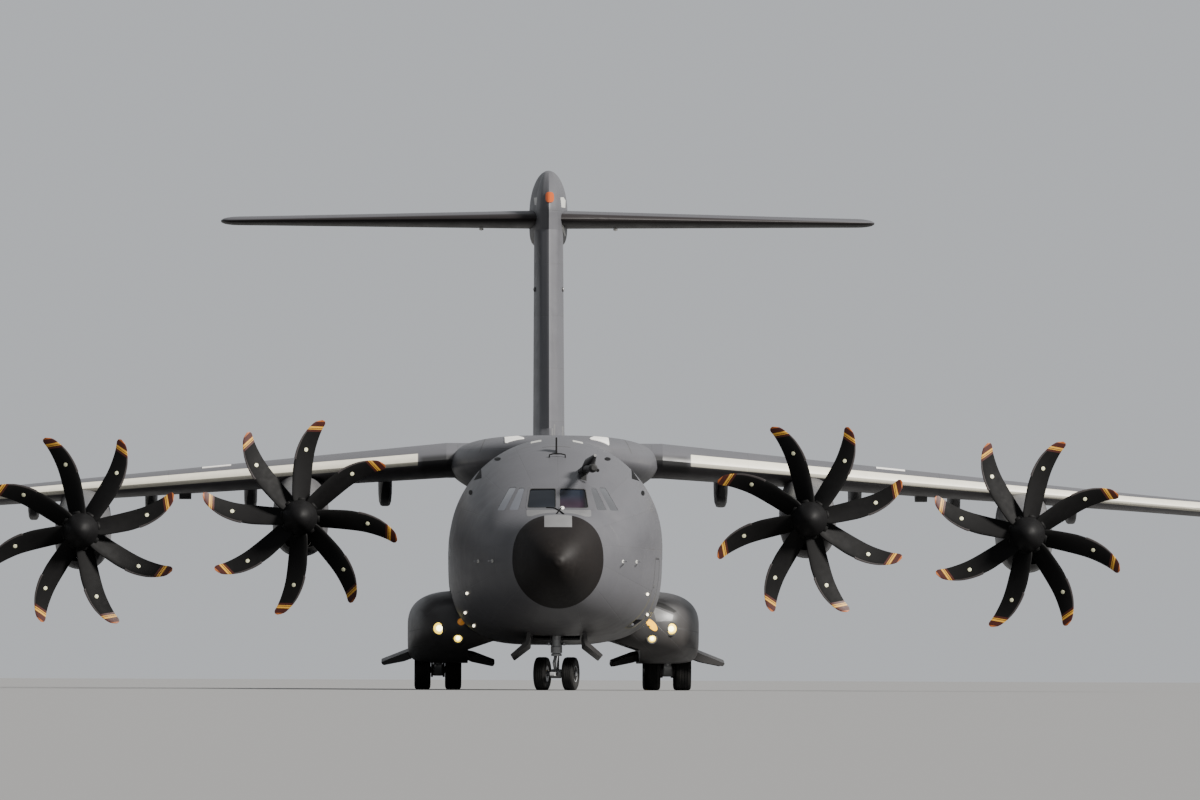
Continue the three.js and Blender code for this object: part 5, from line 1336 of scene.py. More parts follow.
bullet = carve(bullet_shape("bullet"), fin_solid("fin", CLEAR), tail_solid("tail", CLEAR))
nose = carve(prow("prow"), tail_solid("tail", CLEAR))
bullet = merged("fin_bullet_skin", painted(bullet, COMPOSITE), painted(nose, FIN_PAINT))
place(bullet, AIRFRAME, "skin_composite", None, "fin_bullet")
beacon = rounded(rectangle(-0.1, 0.14, 13.74, 14.04), 0.1)
beacon = common(prism("fin_beacon", beacon, "s", 38.2, 39.9), prow("around", 0.02))
place(beacon, AIRFRAME, "windscreen", BEACON)
BULLET_MARKS = [
    ("bullet_panel_port", [(0.34, 13.62), (0.47, 13.62), (0.48, 13.84), (0.42, 13.92), (0.33, 13.9)],
     PALE_PANEL),
    ("bullet_panel_starboard", [(-0.27, 13.62), (-0.4, 13.7), (-0.42, 13.9), (-0.27, 13.9)], PALE_PANEL),
    ("bullet_mark_port", [(0.34, 13.15), (0.42, 13.12), (0.5, 12.84), (0.45, 12.83)], PALE_PANEL),
    ("bullet_mark_starboard", [(-0.3, 13.03), (-0.38, 12.88), (-0.44, 12.92), (-0.36, 13.03)], PALE_GREY),
]
for name, outline, material in BULLET_MARKS:
    piece = common(prism(name, outline, "s", 38.6, 41.5), bullet_shape("outer", 0.004))
    carve(piece, bullet_shape("inner", -0.02), tail_solid("tail", 0.002))
    place(piece, AIRFRAME, "skin_composite", material)
# Small domes on the fin's sides and under the tailplane
DOME = [(-0.02, 0.05), (0.0, 0.07), (0.02, 0.06), (0.035, 0.03), (0.04, 0.005)]
for side, label in SIDES:
    dome = turned(f"fin_pin_{label}", DOME, (side * 0.4, 38.1, 11.27), (side, 0, 0), 20)
    place(dome, AIRFRAME, "skin_composite", PALE_GREY)
    dome = turned(f"tail_lamp_{label}", DOME, (side * 1.9, 40.6, 13.03), (0, -0.3, -1), 20)
    place(dome, AIRFRAME, "windscreen", WHITE)


# Landing gear fairings: station, centre height, half width, rise, drop
SPONSON_X, SPONSON_FRONT, SPONSON_LENGTH = 2.5, 12.9, 12.1
SPONSON_FULL = 17.0  # where its section is full
SPONSON_ABOVE = 2.6  # squareness above the widest line
SPONSON = [
    [12.9, 1.7, 0.05, 0.035, 0.035],
    [13.15, 1.7, 0.8, 0.55, 0.54],
    [13.8, 1.7, 1.14, 0.79, 0.8],
    [15.0, 1.7, 1.35, 0.92, 0.94],
    [16.8, 1.7, 1.42, 0.96, 0.98],
    [22.2, 1.7, 1.42, 0.96, 0.98],
    [23.6, 1.75, 1.2, 0.82, 0.8],
    [25.0, 1.9, 0.6, 0.4, 0.4],
]
WELL = {"inner": 2.36, "outer": 3.78, "front": 17.1, "back": 22.0, "roof": 1.8}
BELOW_BELLY = [(0, 0), (2.3, 0), (2.3, 1.08), (1.6, 1.32), (0, 1.32)]
GEAR_DOORS = [
    [(3.8, 1.06), (4.06, 0.96), (4.64, 0.73), (4.58, 0.65), (4.02, 0.76), (3.8, 0.84)],
    [(2.34, 0.99), (2.14, 0.95), (1.56, 0.73), (1.61, 0.63), (2.18, 0.75), (2.34, 0.82)],
]
GEAR_DOOR_BOW = 0.09


def sponson_row(stations):
    return smooth_table(SPONSON, stations, lambda v: np.sqrt(np.asarray(v) - SPONSON_FRONT))


def sponson_power(station):
    """Squareness below the widest line."""
    return float(np.interp(station, (SPONSON_FRONT, 14.4, SPONSON_FULL), (2.2, 3.2, 6.5)))


def sponson_shape(name, grow=0.0):
    front = np.linspace(0, 0.33, 26) ** 1.5 / 0.33**0.5
    stations = SPONSON_FRONT + SPONSON_LENGTH * np.unique([*front, *np.linspace(0.33, 1, 26)])
    rings = []
    for s, (z, *sizes) in zip(stations, sponson_row(stations)):
        w, up, down = (max(size + grow, 0.01) for size in sizes)
        rings.append(ring((SPONSON_X, z), w, up, down, sponson_power(s), s, 96, SPONSON_ABOVE))
    return loft(name, rings)


def sponson_station(x, z):
    """Where the fairing's front is behind a point of the front view, on the port side."""
    stations = np.linspace(SPONSON_FRONT, SPONSON_FULL, 400)
    for s, (middle, w, up, down) in zip(stations, sponson_row(stations)):
        above = z > middle
        part = (z - middle) / up if above else (middle - z) / down
        n = SPONSON_ABOVE if above else sponson_power(s)
        if abs((x - SPONSON_X) / w) ** n + part**n <= 1:
            return s
    return SPONSON_FULL


def sponson(name):
    well = box("well", WELL["inner"], WELL["outer"], WELL["front"], WELL["back"], 0, WELL["roof"])
    free = prism("free", BELOW_BELLY, "s", FORWARD_END, 30)
    return carve(sponson_shape(name), hull("side", FORWARD_END, 30, CLEAR), well, free)


def gear_door(name, outline):
    """A door that hangs open and bows upwards between its ends."""
    share = np.linspace(0, 1, 13)
    rise = GEAR_DOOR_BOW * np.clip(np.sin(np.pi * share) * 1.25, 0, 1)
    stations = WELL["front"] + 0.05 + share * (WELL["back"] - WELL["front"] - 0.1)
    smooth = rounded(outline, 0.035)
    return loft(name, [[(x, s, z + up) for x, z in smooth] for s, up in zip(stations, rise)])


both_sides("sponson_skin", AIRFRAME, "skin_aluminium", SPONSON_PAINT, "sponson_{side}", sponson)
for i, outline in enumerate(GEAR_DOORS):
    both_sides(f"main_gear_door_{i + 1}", AIRFRAME, "skin_aluminium", DOOR_PAINT, None,
               lambda name: gear_door(name, outline))

# Landing lamps: side, x, height, radius, finish
LANDING_LAMPS = [
    (PORT, 3.12, 1.65, 0.13, LAMP_WHITE),
    (PORT, 2.61, 1.39, 0.095, LAMP_WHITE),
    (STARBOARD, 3.07, 1.64, 0.14, LAMP_WHITE),
    (STARBOARD, 2.57, 1.38, 0.1, LAMP_WHITE),
    (STARBOARD, 2.49, 1.81, 0.09, LAMP_DIM),
]
LAMP_GROWTH, BEZEL = 1.15, 0.035
for i, (side, x, z, radius, material) in enumerate(LANDING_LAMPS):
    r = radius * LAMP_GROWTH
    at = np.array((side * x, sponson_station(x, z) + 0.02, z))
    lens = [(0.0, r * 0.98), (0.02, r * 0.96), (0.05, r * 0.75), (0.055, 0.005)]
    core = [(0.03, r * 0.55), (0.06, r * 0.5), (0.07, 0.005)]
    parts = [(turned("lens", lens, at, AHEAD, 32), LAMP_RIM if material == LAMP_WHITE else material),
             (turned("core", core, at, AHEAD, 32), material)]
    place(assembled(f"landing_lamp_{i + 1}", parts), AIRFRAME, "windscreen")
    edge = rectangle(-0.05, BEZEL, r, r + BEZEL)
    circle = [(math.cos(a), math.sin(a)) for a in np.linspace(0, 2 * np.pi, 33)[:-1]]
    bezel = [[at + (out * c, -d, out * s) for d, out in edge] for c, s in circle]
    place(loft(f"lamp_bezel_{i + 1}", bezel, round_trip=True), AIRFRAME, "skin_aluminium", DARK_PAINT)


def sponson_mark(name, outline, material, side=PORT, proud=0.005):
    """A patch on the front of a fairing, drawn as seen from the front."""
    piece = common(prism(name, outline, "s", 12.8, SPONSON_FULL), sponson_shape("outer", proud))
    carve(piece, sponson_shape("inner", -0.03), hull("side", FORWARD_END, 30, 0.002))
    place(flip(piece) if side == STARBOARD else piece, AIRFRAME, "skin_aluminium", material)


# Amber lamp: a tilted oval beside the landing lamps of the port fairing
AMBER_X, AMBER_Z, AMBER_TILT = 2.6, 1.75, math.radians(-48)
cos, sin = math.cos(AMBER_TILT), math.sin(AMBER_TILT)
amber = [(AMBER_X + a * cos - b * sin, AMBER_Z + a * sin + b * cos) for a, b in oval(0, 0, 0.2, 0.095)]
sponson_mark("amber_lamp", amber, LAMP_AMBER, proud=0.015)

# Air intake of the port fairing: a dark mouth, painted shade of its opening, with a pale ramp below it, and
# thin seams further out
INTAKE_MOUTH = [(2.5, 2.3), (2.8, 2.24), (3.2, 2.08), (3.28, 2.12), (2.95, 2.32), (2.6, 2.42)]
INTAKE_RAMP = [(2.62, 2.24), (2.8, 2.18), (3.18, 2.02), (3.15, 1.86), (2.72, 1.84)]
FAIRING_SEAMS = [((3.28, 1.68), (3.87, 1.57)), ((3.43, 1.2), (3.82, 1.14))]
sponson_mark("intake_mouth", INTAKE_MOUTH, PAINTED_SHADE_DARK)
sponson_mark("intake_ramp", INTAKE_RAMP, PALE_GREY)
for i, (a, b) in enumerate(FAIRING_SEAMS):
    outline = [a, b, (b[0], b[1] - 0.02), (a[0], a[1] - 0.02)]
    for side, label in SIDES:
        sponson_mark(f"fairing_seam_{i + 1}_{label}", outline, SEALANT, side, 0.003)

# Wheels
def axle_height(radius, sides=16):
    """The tyres' solids stand on a flat, so their axles are a little low."""
    return radius * math.cos(math.pi / sides)


MAIN_AXLE_Z, NOSE_AXLE_Z = axle_height(0.545), axle_height(0.445)
MAIN_X, MAIN_STATIONS = 3.1, (17.95, 19.55, 21.15)
NOSE_STATION, STEER_REST = 5.3, -13.5


# outline of a wheel disc: share of its half width, share of its radius, and what is added to that
DISC = [
    (-0.8, 0, 0.01), (-0.8, 0.55, 0), (-0.84, 1, 0), (-0.74, 1, 0.006), (0.76, 1, 0.006), (0.86, 1, 0),
    (0.84, 0.93, 0), (0.45, 0.86, 0), (0.3, 0.62, 0), (0.42, 0.5, 0), (0.5, 0.34, 0), (0.95, 0.3, 0),
    (1, 0.2, 0), (1, 0, 0.01),
]
BOLTS = 10
GROOVES, GROOVE_DEPTH = 4, 0.014


def tyre(name, centre, middle, half, radius, rim_radius):
    """A tyre about the x axis, with rounded shoulders and grooves round its tread."""
    r, deep = rim_radius, radius - rim_radius
    wall = [(-0.8, r - 0.02), (-0.86, r + 0.01), (-0.97, r + 0.3 * deep), (-1.0, r + 0.55 * deep),
            (-0.96, r + 0.78 * deep), (-0.87, r + 0.92 * deep), (-0.74, radius - 0.008)]
    tread, bottom = [], radius - GROOVE_DEPTH
    for at in np.linspace(-0.5, 0.5, GROOVES):
        tread += [(at - 0.05, radius), (at - 0.04, bottom), (at + 0.04, bottom), (at + 0.05, radius)]
    profile = wall + tread + [(-a, r) for a, r in reversed(wall)]
    x, s, z = centre
    return turned(name, [(a * half, r) for a, r in profile], (x + middle, s, z), ACROSS, 72)


def rim(name, centre, middle, half, radius, side):
    """A wheel disc with a flange, a dish, a hub and a ring of bolts on its outer side."""
    x, s, z = centre
    profile = [(half * a, radius * b + more) for a, b, more in DISC]
    parts = [(turned(name, profile, (x + middle, s, z), (side, 0, 0), 56), GEAR_ENAMEL_SHADED)]
    for i in range(BOLTS):
        angle, offset = 2 * math.pi * i / BOLTS, radius * 0.7
        at = (x + middle + side * half * 0.3, s + offset * math.cos(angle), z + offset * math.sin(angle))
        bolt = turned("bolt", [(0, 0.018), (0.03, 0.018), (0.036, 0.01)], at, (side, 0, 0), 6)
        parts.append((bolt, STEEL))
    return assembled(name, parts)


def wheels(body, centre, middle, half, radius, rim_radius, axle, steer=0.0):
    """Twin tyres with their rims and axle, on one body."""
    tyres = [(tyre("tyre", centre, side * middle, half, radius, rim_radius), TYRE) for side in (1, -1)]
    rims = [rim("rim", centre, side * middle, half, rim_radius, side) for side in (1, -1)]
    end = middle + half * 0.8
    rims.append(painted(turned("axle", [(-end, axle), (end, axle)], centre, ACROSS, 32), STEEL))
    for piece, slot, stands_for in (
        (assembled(f"{body}_tyres", tyres), "tyre", body),
        (merged(f"{body}_rims", *rims), "gear_steel", ()),
    ):
        if steer:
            steered(piece, steer, centre[1])
        place(piece, body, slot, None, stands_for, sharp=28)


for side, label in SIDES:
    for i, s in enumerate(MAIN_STATIONS):
        at = (side * MAIN_X, s, MAIN_AXLE_Z)
        wheels(f"main_wheels_{i + 1}_{label}", at, 0.415, 0.22, MAIN_AXLE_Z, 0.27, 0.09)
wheels("nose_wheels", (0, NOSE_STATION, NOSE_AXLE_Z), 0.38, 0.165, NOSE_AXLE_Z, 0.21, 0.066, STEER_REST)


# Main gear: a beam in the roof of each well, and a leg and a trailing arm for each pair of wheels
BARREL = [(0, 0.1), (0.3, 0.1), (0.3, 0.115), (0.36, 0.115), (0.36, 0.1), (0.6, 0.1), (0.62, 0.112),
          (0.68, 0.112), (0.7, 0.07)]
MAIN_HUB = [(-0.13, 0.12), (-0.13, 0.155), (-0.1, 0.165), (0.1, 0.165), (0.13, 0.155), (0.13, 0.12)]
BRAKE_DISCS = [(0.132, 0.11), (0.132, 0.2), (0.145, 0.2), (0.15, 0.19), (0.155, 0.2), (0.17, 0.2),
               (0.175, 0.19), (0.186, 0.19), (0.186, 0.11)]


def main_leg(x, s):
    """A leg, its trailing arm, brakes and hoses at one pair of wheels, as (piece, material) pairs."""
    z = MAIN_AXLE_Z
    top, foot = np.array((x, s - 0.3, WELL["roof"] - 0.1)), np.array((x, s - 0.22, 0.72))
    down = foot - top
    arm = rounded([(s - 0.38, 0.62), (s - 0.26, 0.84), (s - 0.08, 0.86), (s + 0.12, z + 0.13),
                   (s + 0.12, z - 0.13), (s - 0.1, z - 0.15)], 0.05)
    link = rounded([(s - 0.33, 1.12), (s - 0.5, 0.86), (s - 0.36, 0.66), (s - 0.3, 0.72), (s - 0.4, 0.86),
                    (s - 0.28, 1.06)], 0.02)
    parts = [
        (turned("barrel", BARREL, top, down, 32), GEAR_ENAMEL_SHADED),
        (bar("piston", top + down * 0.6, foot, 0.062, sides=32), CHROME),
        (prism("arm", arm, "x", x - 0.1, x + 0.1), GEAR_ENAMEL_SHADED),
        (turned("hub", MAIN_HUB, (x, s, z), ACROSS, 40), GEAR_ENAMEL_SHADED),
    ]
    for side in (1, -1):
        hose = [(x + side * (0.12 + 0.02 * math.sin(4 * t)), s - 0.36 + 0.1 * math.sin(3 * t), 1.6 - t * 0.95)
                for t in np.linspace(0, 1, 14)]
        parts.append((turned("brake", BRAKE_DISCS, (x, s, z), (side, 0, 0), 40), BRAKE))
        parts.append((rod("hose", hose, 0.014), HOSE))
    return [*parts, (prism("link", link, "x", x - 0.04, x + 0.04), GEAR_ENAMEL_SHADED)]


def main_gear(name):
    x, roof = MAIN_X, WELL["roof"]
    beam = rounded(rectangle(x - 0.13, x + 0.13, roof - 0.2, roof - HAIR), 0.03)
    parts = [(prism("beam", beam, "s", MAIN_STATIONS[0] - 0.5, MAIN_STATIONS[-1] + 0.5), BAY_PAINT)]
    for s in MAIN_STATIONS:
        parts += main_leg(x, s)
    return assembled(name, parts)


both_sides("main_gear_legs", AIRFRAME, "gear_steel", None, "main_gear_{side}", main_gear)


def well_lining(name):
    """Frames and pipes in the roof of a wheel well."""
    front, back, roof = WELL["front"], WELL["back"], WELL["roof"]
    inner, outer = WELL["inner"] + 0.05, WELL["outer"] - 0.12
    parts = []
    for s in np.arange(front + 0.3, back, 0.5):
        parts.append((box("rib", inner, outer, s, s + 0.04, 1.7, roof), BAY_PAINT))
    for x in (2.55, 3.55):
        run = [(x + 0.01 * math.sin(5 * s), s, 1.68) for s in np.linspace(front + 0.1, back - 0.1, 40)]
        parts.append((rod("pipe", run, 0.02), STEEL))
    return assembled(name, parts)


both_sides("main_gear_bay_frames", AIRFRAME, "gear_steel", None, None, well_lining)

# Nose gear: a fixed strut, and a steered fork below it
FORK_TOP = 0.98
s, z, roof = NOSE_STATION, NOSE_AXLE_Z, BAY["roof"]
STRUT = [(0, 0.112), (0, 0.15), (0.16, 0.15), (0.17, 0.118), (0.5, 0.112), (0.5, 0.13), (0.58, 0.13),
         (0.58, 0.11), (roof - FORK_TOP - CLEAR, 0.11)]
JACK = [(0, 0.045), (0.32, 0.045), (0.33, 0.03), (0.46, 0.03)]
parts = [
    (turned("strut", STRUT, (0, s, FORK_TOP), UP, 48), GEAR_ENAMEL_SHADED),
    (bar("brace", (0, s - 0.08, 1.35), (0, 4.47, 2.25), 0.05), GEAR_ENAMEL_SHADED),
    (box("foot", -0.2, 0.2, 4.37, 4.57, roof - 0.15, roof - CLEAR), GEAR_ENAMEL_SHADED),
]
for side in (1, -1):
    hose = [(side * (0.125 + 0.04 * math.sin(3.14 * t)), s - 0.06, 2.1 - t) for t in np.linspace(0, 1, 14)]
    parts += [
        (turned("steering jack", JACK, (side * 0.2, s + 0.28, 1.22), AHEAD, 24), STEEL),
        (bar("jack lug", (0, s + 0.1, 1.22), (side * 0.2, s + 0.2, 1.22), 0.035), GEAR_ENAMEL_SHADED),
        (bar("drag link", (side * 0.1, s + 0.02, 1.7), (side * 0.55, s + 0.1, 2.2), 0.035), GEAR_ENAMEL_SHADED),
        (rod("hose", hose, 0.013), HOSE),
    ]
place(assembled("nose_gear_strut_legs", parts), AIRFRAME, "gear_steel", None, "nose_gear_strut")

COLLAR = [(0, 0.09), (0, 0.14), (0.06, 0.14), (0.079, 0.1)]
NOSE_HUB = [(-0.14, 0.09), (-0.14, 0.11), (-0.11, 0.12), (0.11, 0.12), (0.14, 0.11), (0.14, 0.09)]
link = rounded([(s - 0.1, FORK_TOP - 0.07), (s - 0.32, 0.72), (s - 0.1, z + 0.05), (s - 0.05, z + 0.1),
                (s - 0.22, 0.72), (s - 0.05, FORK_TOP - 0.1)], 0.025)
lug = rounded(rectangle(s - 0.5, s, z - 0.06, z + 0.04), 0.03)
parts = [
    (bar("piston", (0, s, z), (0, s, FORK_TOP - CLEAR), 0.075, sides=40), CHROME),
    (turned("collar", COLLAR, (0, s, FORK_TOP - 0.08), UP, 40), GEAR_ENAMEL_SHADED),
    (prism("torque link", link, "x", -0.035, 0.035), GEAR_ENAMEL_SHADED),
    (turned("hub", NOSE_HUB, (0, s, z), ACROSS, 40), GEAR_ENAMEL_SHADED),
    (prism("tow lug", lug, "x", -0.06, 0.06), GEAR_ENAMEL_SHADED),
]
fork = steered(assembled("nose_gear_fork_legs", parts), STEER_REST, s)
place(fork, "nose_fork", "gear_steel", None, "nose_gear_fork")

# The nose gear doors hang down and flare out, more so at the front: outlines of their two ends
NOSE_DOOR_FRONT = [(0.64, 1.7), (0.74, 1.7), (0.82, 1.28), (1.22, 0.93), (1.16, 0.87), (0.74, 1.2)]
NOSE_DOOR_BACK = [(0.64, 1.6), (0.71, 1.6), (0.75, 1.16), (1.15, 0.83), (1.1, 0.77), (0.67, 1.1)]


def nose_door(name):
    ends = ((4.4, NOSE_DOOR_FRONT), (6.2, NOSE_DOOR_BACK))
    door = loft(name, [[(x, s, z) for x, z in rounded(outline, 0.03)] for s, outline in ends])
    return carve(door, hull("side", RADOME_END, FORWARD_END, CLEAR))


both_sides("nose_gear_door_skin", AIRFRAME, "skin_aluminium", DOOR_PAINT, "nose_gear_door_{side}", nose_door)

# Engines
# name: shaft's x, propeller plane's station, shaft's height, way the blade tips lean, how far it has turned
ENGINES = {
    "1": (12.67, OUTER_PLANE, 4.22, -1, 10.8),
    "2": (6.8, INNER_PLANE, 4.58, 1, 11.9),
    "3": (-6.8, INNER_PLANE, 4.58, -1, 2.5),
    "4": (-12.67, OUTER_PLANE, 4.22, 1, 11.0),
}
# distance behind the propeller, half width, rise above the shaft, drop below it
NACELLE = [
    [0.16, 0.52, 0.52, 0.84],
    [0.5, 0.64, 0.64, 0.98],
    [1.5, 0.74, 0.82, 1.03],
    [3.2, 0.75, 1.08, 1.0],
    [4.4, 0.72, 1.3, 0.9],
    [5.8, 0.52, 1.2, 0.5],
    [6.85, 0.16, 1.02, -0.2],
]
CHIN = {"drop": 0.68, "half": 0.36, "up": 0.1, "down": 0.13, "depth": 0.9}
PIPE = {"radius": 0.27, "wall": 0.05, "drop": 0.52, "front": 4.3, "back": 6.5}
SHAFT = 0.17
COWL_POWER, MOUTH_POWER = 2.4, 2.6  # squareness
LIP = {"depth": 0.05, "length": 0.1}
COWL_WALL = 0.09
# outline of the engine and its shaft: distance behind the propeller, radius
CORE = [
    (0.061, 0.02), (0.061, SHAFT), (0.621, SHAFT), (0.621, 0.44), (0.9, 0.45), (0.92, 0.47), (1.0, 0.47),
    (1.02, 0.45), (1.6, 0.46), (1.7, 0.38), (2.6, 0.36), (2.62, 0.385), (2.7, 0.385), (2.72, 0.36),
    (4.2, 0.38), (4.3, 0.05),
]


def nacelle_ring(x, plane, axis, distance, grow=0.0):
    w, up, down = smooth_table(NACELLE, [distance])[0]
    w, half = max(w + grow, 0.01), max((up + down) / 2 + grow, 0.01)
    return ring((x, axis + (up - down) / 2), w, half, half, COWL_POWER, plane + distance, 72, COWL_POWER)


def nacelle(name, x, plane, axis):
    front, end = NACELLE[0][0], NACELLE[-1][0]
    rings = []
    for d in np.unique([front, 0.18, 0.21, 0.26, 0.33, 0.41, *np.linspace(0.5, end, 48)]):
        lip = max(0, 1 - (d - front) / LIP["length"]) ** 2
        rings.append(nacelle_ring(x, plane, axis, d, -LIP["depth"] * lip))
    outer = loft(name, rings)
    rings = [nacelle_ring(x, plane, axis, d, -COWL_WALL) for d in np.linspace(0.62, 5.2, 12)]
    cavity = loft("cavity", rings)
    hole = bar("shaft hole", (x, plane - 1, axis), (x, plane + 1, axis), SHAFT + 0.01, sides=40)
    middle = (x, axis - CHIN["drop"])
    rings = []
    for d, k in ((-0.2, 1.12), (0.16, 1.12), (0.3, 1.0), (CHIN["depth"], 1.0)):
        half, up, down = (CHIN[key] * k for key in ("half", "up", "down"))
        rings.append(ring(middle, half, up, down, MOUTH_POWER, plane + d, 48, MOUTH_POWER))
    mouth = loft("mouth", rings)
    low = axis - PIPE["drop"]
    pipe = bar("pipe hole", (x, plane + 4, low), (x, plane + 9, low), PIPE["radius"] * 1.04, sides=48)
    side = math.copysign(1, x)
    rings = [wing_ring(v, CLEAR) for v in np.linspace(abs(x) - 2, abs(x) + 2, 6)]
    wing_part = loft("wing", [[(side * a, s, z) for a, s, z in row] for row in rings])
    return carve(outer, cavity, hole, mouth, pipe, wing_part)


def engine(name, x, plane, axis):
    start, end, r, low = PIPE["front"], PIPE["back"], PIPE["radius"], axis - PIPE["drop"]
    bore = r - PIPE["wall"]
    tube = [(start, r), (end - 0.12, r), (end - 0.05, r + 0.012), (end, r), (end, r - 0.02),
            (end - 0.05, bore), (start + 0.4, bore)]
    return assembled(name, [
        (turned("core", CORE, (x, plane, axis), AFT, 40), ENGINE),
        (turned("pipe", tube, (x, plane, low), AFT, 48), HOT_METAL),
        (bar("elbow", (x, plane + 3.9, axis - 0.15), (x, plane + start + 0.3, low), 0.24), HOT_METAL),
    ])


# Propeller blade: share of the radius, sweep angle, chord, thickness, pitch angle
RADIUS = 2.665
BLADE = [
    [0.12, 0, 0.46, 0.15, 41],
    [0.2, 0, 0.57, 0.11, 36],
    [0.28, 0, 0.58, 0.09, 33],
    [0.45, 0.3, 0.58, 0.065, 28],
    [0.62, 1.7, 0.54, 0.05, 24],
    [0.78, 4.4, 0.47, 0.04, 21],
    [0.9, 7.4, 0.36, 0.03, 19],
    [0.97, 9.6, 0.27, 0.02, 18],
    [1.0, 10.5, 0.14, 0.014, 17],
]
SPINNER = [[0.06, 0.5], [-0.3, 0.46], [-0.62, 0.34], [-0.85, 0.17], [-0.92, 0.01]]
BAND_SKEW = 0.02  # how far a band runs out along the blade from its leading to its trailing edge
# outer end of each band, as a share of the radius, and its paint
BANDS = [(0.868, 0), (0.892, 3), (0.9, 1), (0.907, 3), (0.926, 1), (0.98, 3), (1.0, 2)]


BLADES = 8
BLADE_AHEAD = 0.12  # how far the blades stand ahead of the propeller's plane
BLADE_PAINTS = (BLACK, YELLOW, ORANGE, RED_BROWN, SHEATH)
ROOT_PAINT, TIP_PAINT, SHEATH_PAINT = 0, 2, 4
SHEATH_SPAN = (0.585, 0.868)
SHEATH_STEP = 0.035  # how far the sheath widens the blade, as a share of the chord
ROUND_FROM = 0.97  # share of the radius at which the tip starts to round off
MARKS = np.unique(np.round([
    *np.linspace(0.12, 0.86, 34), *(end for end, _ in BANDS), 0.88, 0.9, 0.92, 0.945, 0.96, 0.99, 0.58, 0.6,
], 4))
DOT_DISC = [(-0.006, 0.052), (0.003, 0.052), (0.004, 0.048)]
CUFF = [(-0.05, 0.15), (0.035, 0.15), (0.05, 0.135), (0.075, 0.125), (0.08, 0.1)]


def blade_point(share, along, thick, lean, turn):
    sweep, chord, thickness, pitch = smooth_table(BLADE, [share])[0]
    angle, twist, r = math.radians(lean + sweep), math.radians(pitch), share * RADIUS
    around = along * chord * math.cos(twist) - thick * thickness * math.sin(twist)
    aft = along * chord * math.sin(twist) + thick * thickness * math.cos(twist) - BLADE_AHEAD
    x = turn * (math.cos(angle) * r - math.sin(angle) * around)
    return np.array([x, aft, math.sin(angle) * r + math.cos(angle) * around])


def blade_section(steps=11):
    """(along, thick) round a blade's section, with its nose where the air meets it."""
    share = (1 - np.cos(np.linspace(0, np.pi, steps))) / 2
    half = half_thickness(share)
    half[-1] = 0
    front = [(v - 0.5, t) for v, t in zip(share, half)]
    return front + [(v - 0.5, -t) for v, t in zip(share[-2:0:-1], half[-2:0:-1])]


SECTION = blade_section()


def blade_ring(mark, lean, turn):
    """A cut through a blade. Its outer cuts run askew, and the last ones narrow to a round tip."""
    skew = np.clip((mark - 0.6) / 0.25, 0, 1) * np.clip((1 - mark) / 0.02, 0, 1)
    past = (mark - ROUND_FROM) / (1 - ROUND_FROM)
    narrow = 1 if mark < ROUND_FROM else math.sqrt(max(1 - past**2, 0.02))
    points = []
    for along, thick in SECTION:
        step = SHEATH_STEP if mark > SHEATH_SPAN[0] and along < -0.3 else 0
        points.append(blade_point(mark + BAND_SKEW * skew * along, along * narrow - step, thick, lean, turn))
    return points


def blade_faces(start):
    """The faces of a blade whose points begin at a number, and their paints."""
    size, rows = len(SECTION), len(MARKS)
    faces, paints = [], []
    for row, middle in enumerate((MARKS[:-1] + MARKS[1:]) / 2):
        band = next(paint for end, paint in BANDS if middle <= end)
        for k, (along, _) in enumerate(SECTION):
            after = (k + 1) % size
            a, b = start + row * size + k, start + row * size + after
            faces.append([a, b, b + size, a + size])
            edge = along + SECTION[after][0] < -0.76
            paints.append(SHEATH_PAINT if edge and SHEATH_SPAN[0] < middle < SHEATH_SPAN[1] else band)
    ends = [[first + k for k in range(size)] for first in (start, start + (rows - 1) * size)]
    return faces + ends, [*paints, ROOT_PAINT, TIP_PAINT]


def spinner_profile():
    """Half way between the table's outline and a rounder one."""
    back, length, radius = SPINNER[0][0], 0.985, SPINNER[0][1]
    profile = [(back, 0.05)]
    for d in np.linspace(back, SPINNER[-1][0], 30):
        pointed = smooth_table(SPINNER[::-1], [d])[0][0]
        blunt = radius * math.sqrt(max(1 - max((back - d) / length, 0) ** 2, 0.0004))
        profile.append((d, 0.5 * pointed + 0.5 * blunt))
    return profile


def propeller(name, x, plane, axis, turn, lean):
    points, faces, paints = [], [], []
    leans = [lean + i * 360 // BLADES for i in range(BLADES)]
    for blade_lean in leans:
        new_faces, new_paints = blade_faces(len(points))
        points += [p + (x, plane, axis) for mark in MARKS for p in blade_ring(mark, blade_lean, turn)]
        faces += new_faces
        paints += new_paints
    blades = new_object(name, points, faces)
    for material in BLADE_PAINTS:
        blades.data.materials.append(material)
    blades.data.polygons.foreach_set("material_index", paints)
    parts = [blades]
    for blade_lean in leans:
        at = blade_point(0.68, -0.02, -0.5, blade_lean, turn)
        off = at - blade_point(0.68, -0.02, 0.5, blade_lean, turn)
        off /= np.linalg.norm(off)
        parts.append(painted(turned("dot", DOT_DISC, at + (x, plane, axis), off, 24), DOT))
        root = blade_point(0.155, 0, 0, blade_lean, turn) + (0, BLADE_AHEAD, 0)
        out = root / np.linalg.norm(root)
        foot = out * 0.45 + (x, plane - BLADE_AHEAD, axis)
        parts.append(painted(turned("cuff", CUFF, foot, out, 28), BLACK))
    spinner = turned("spinner", spinner_profile(), (x, plane, axis), AFT, 64)
    return merged(name, *parts, painted(spinner, SPINNER_PAINT))


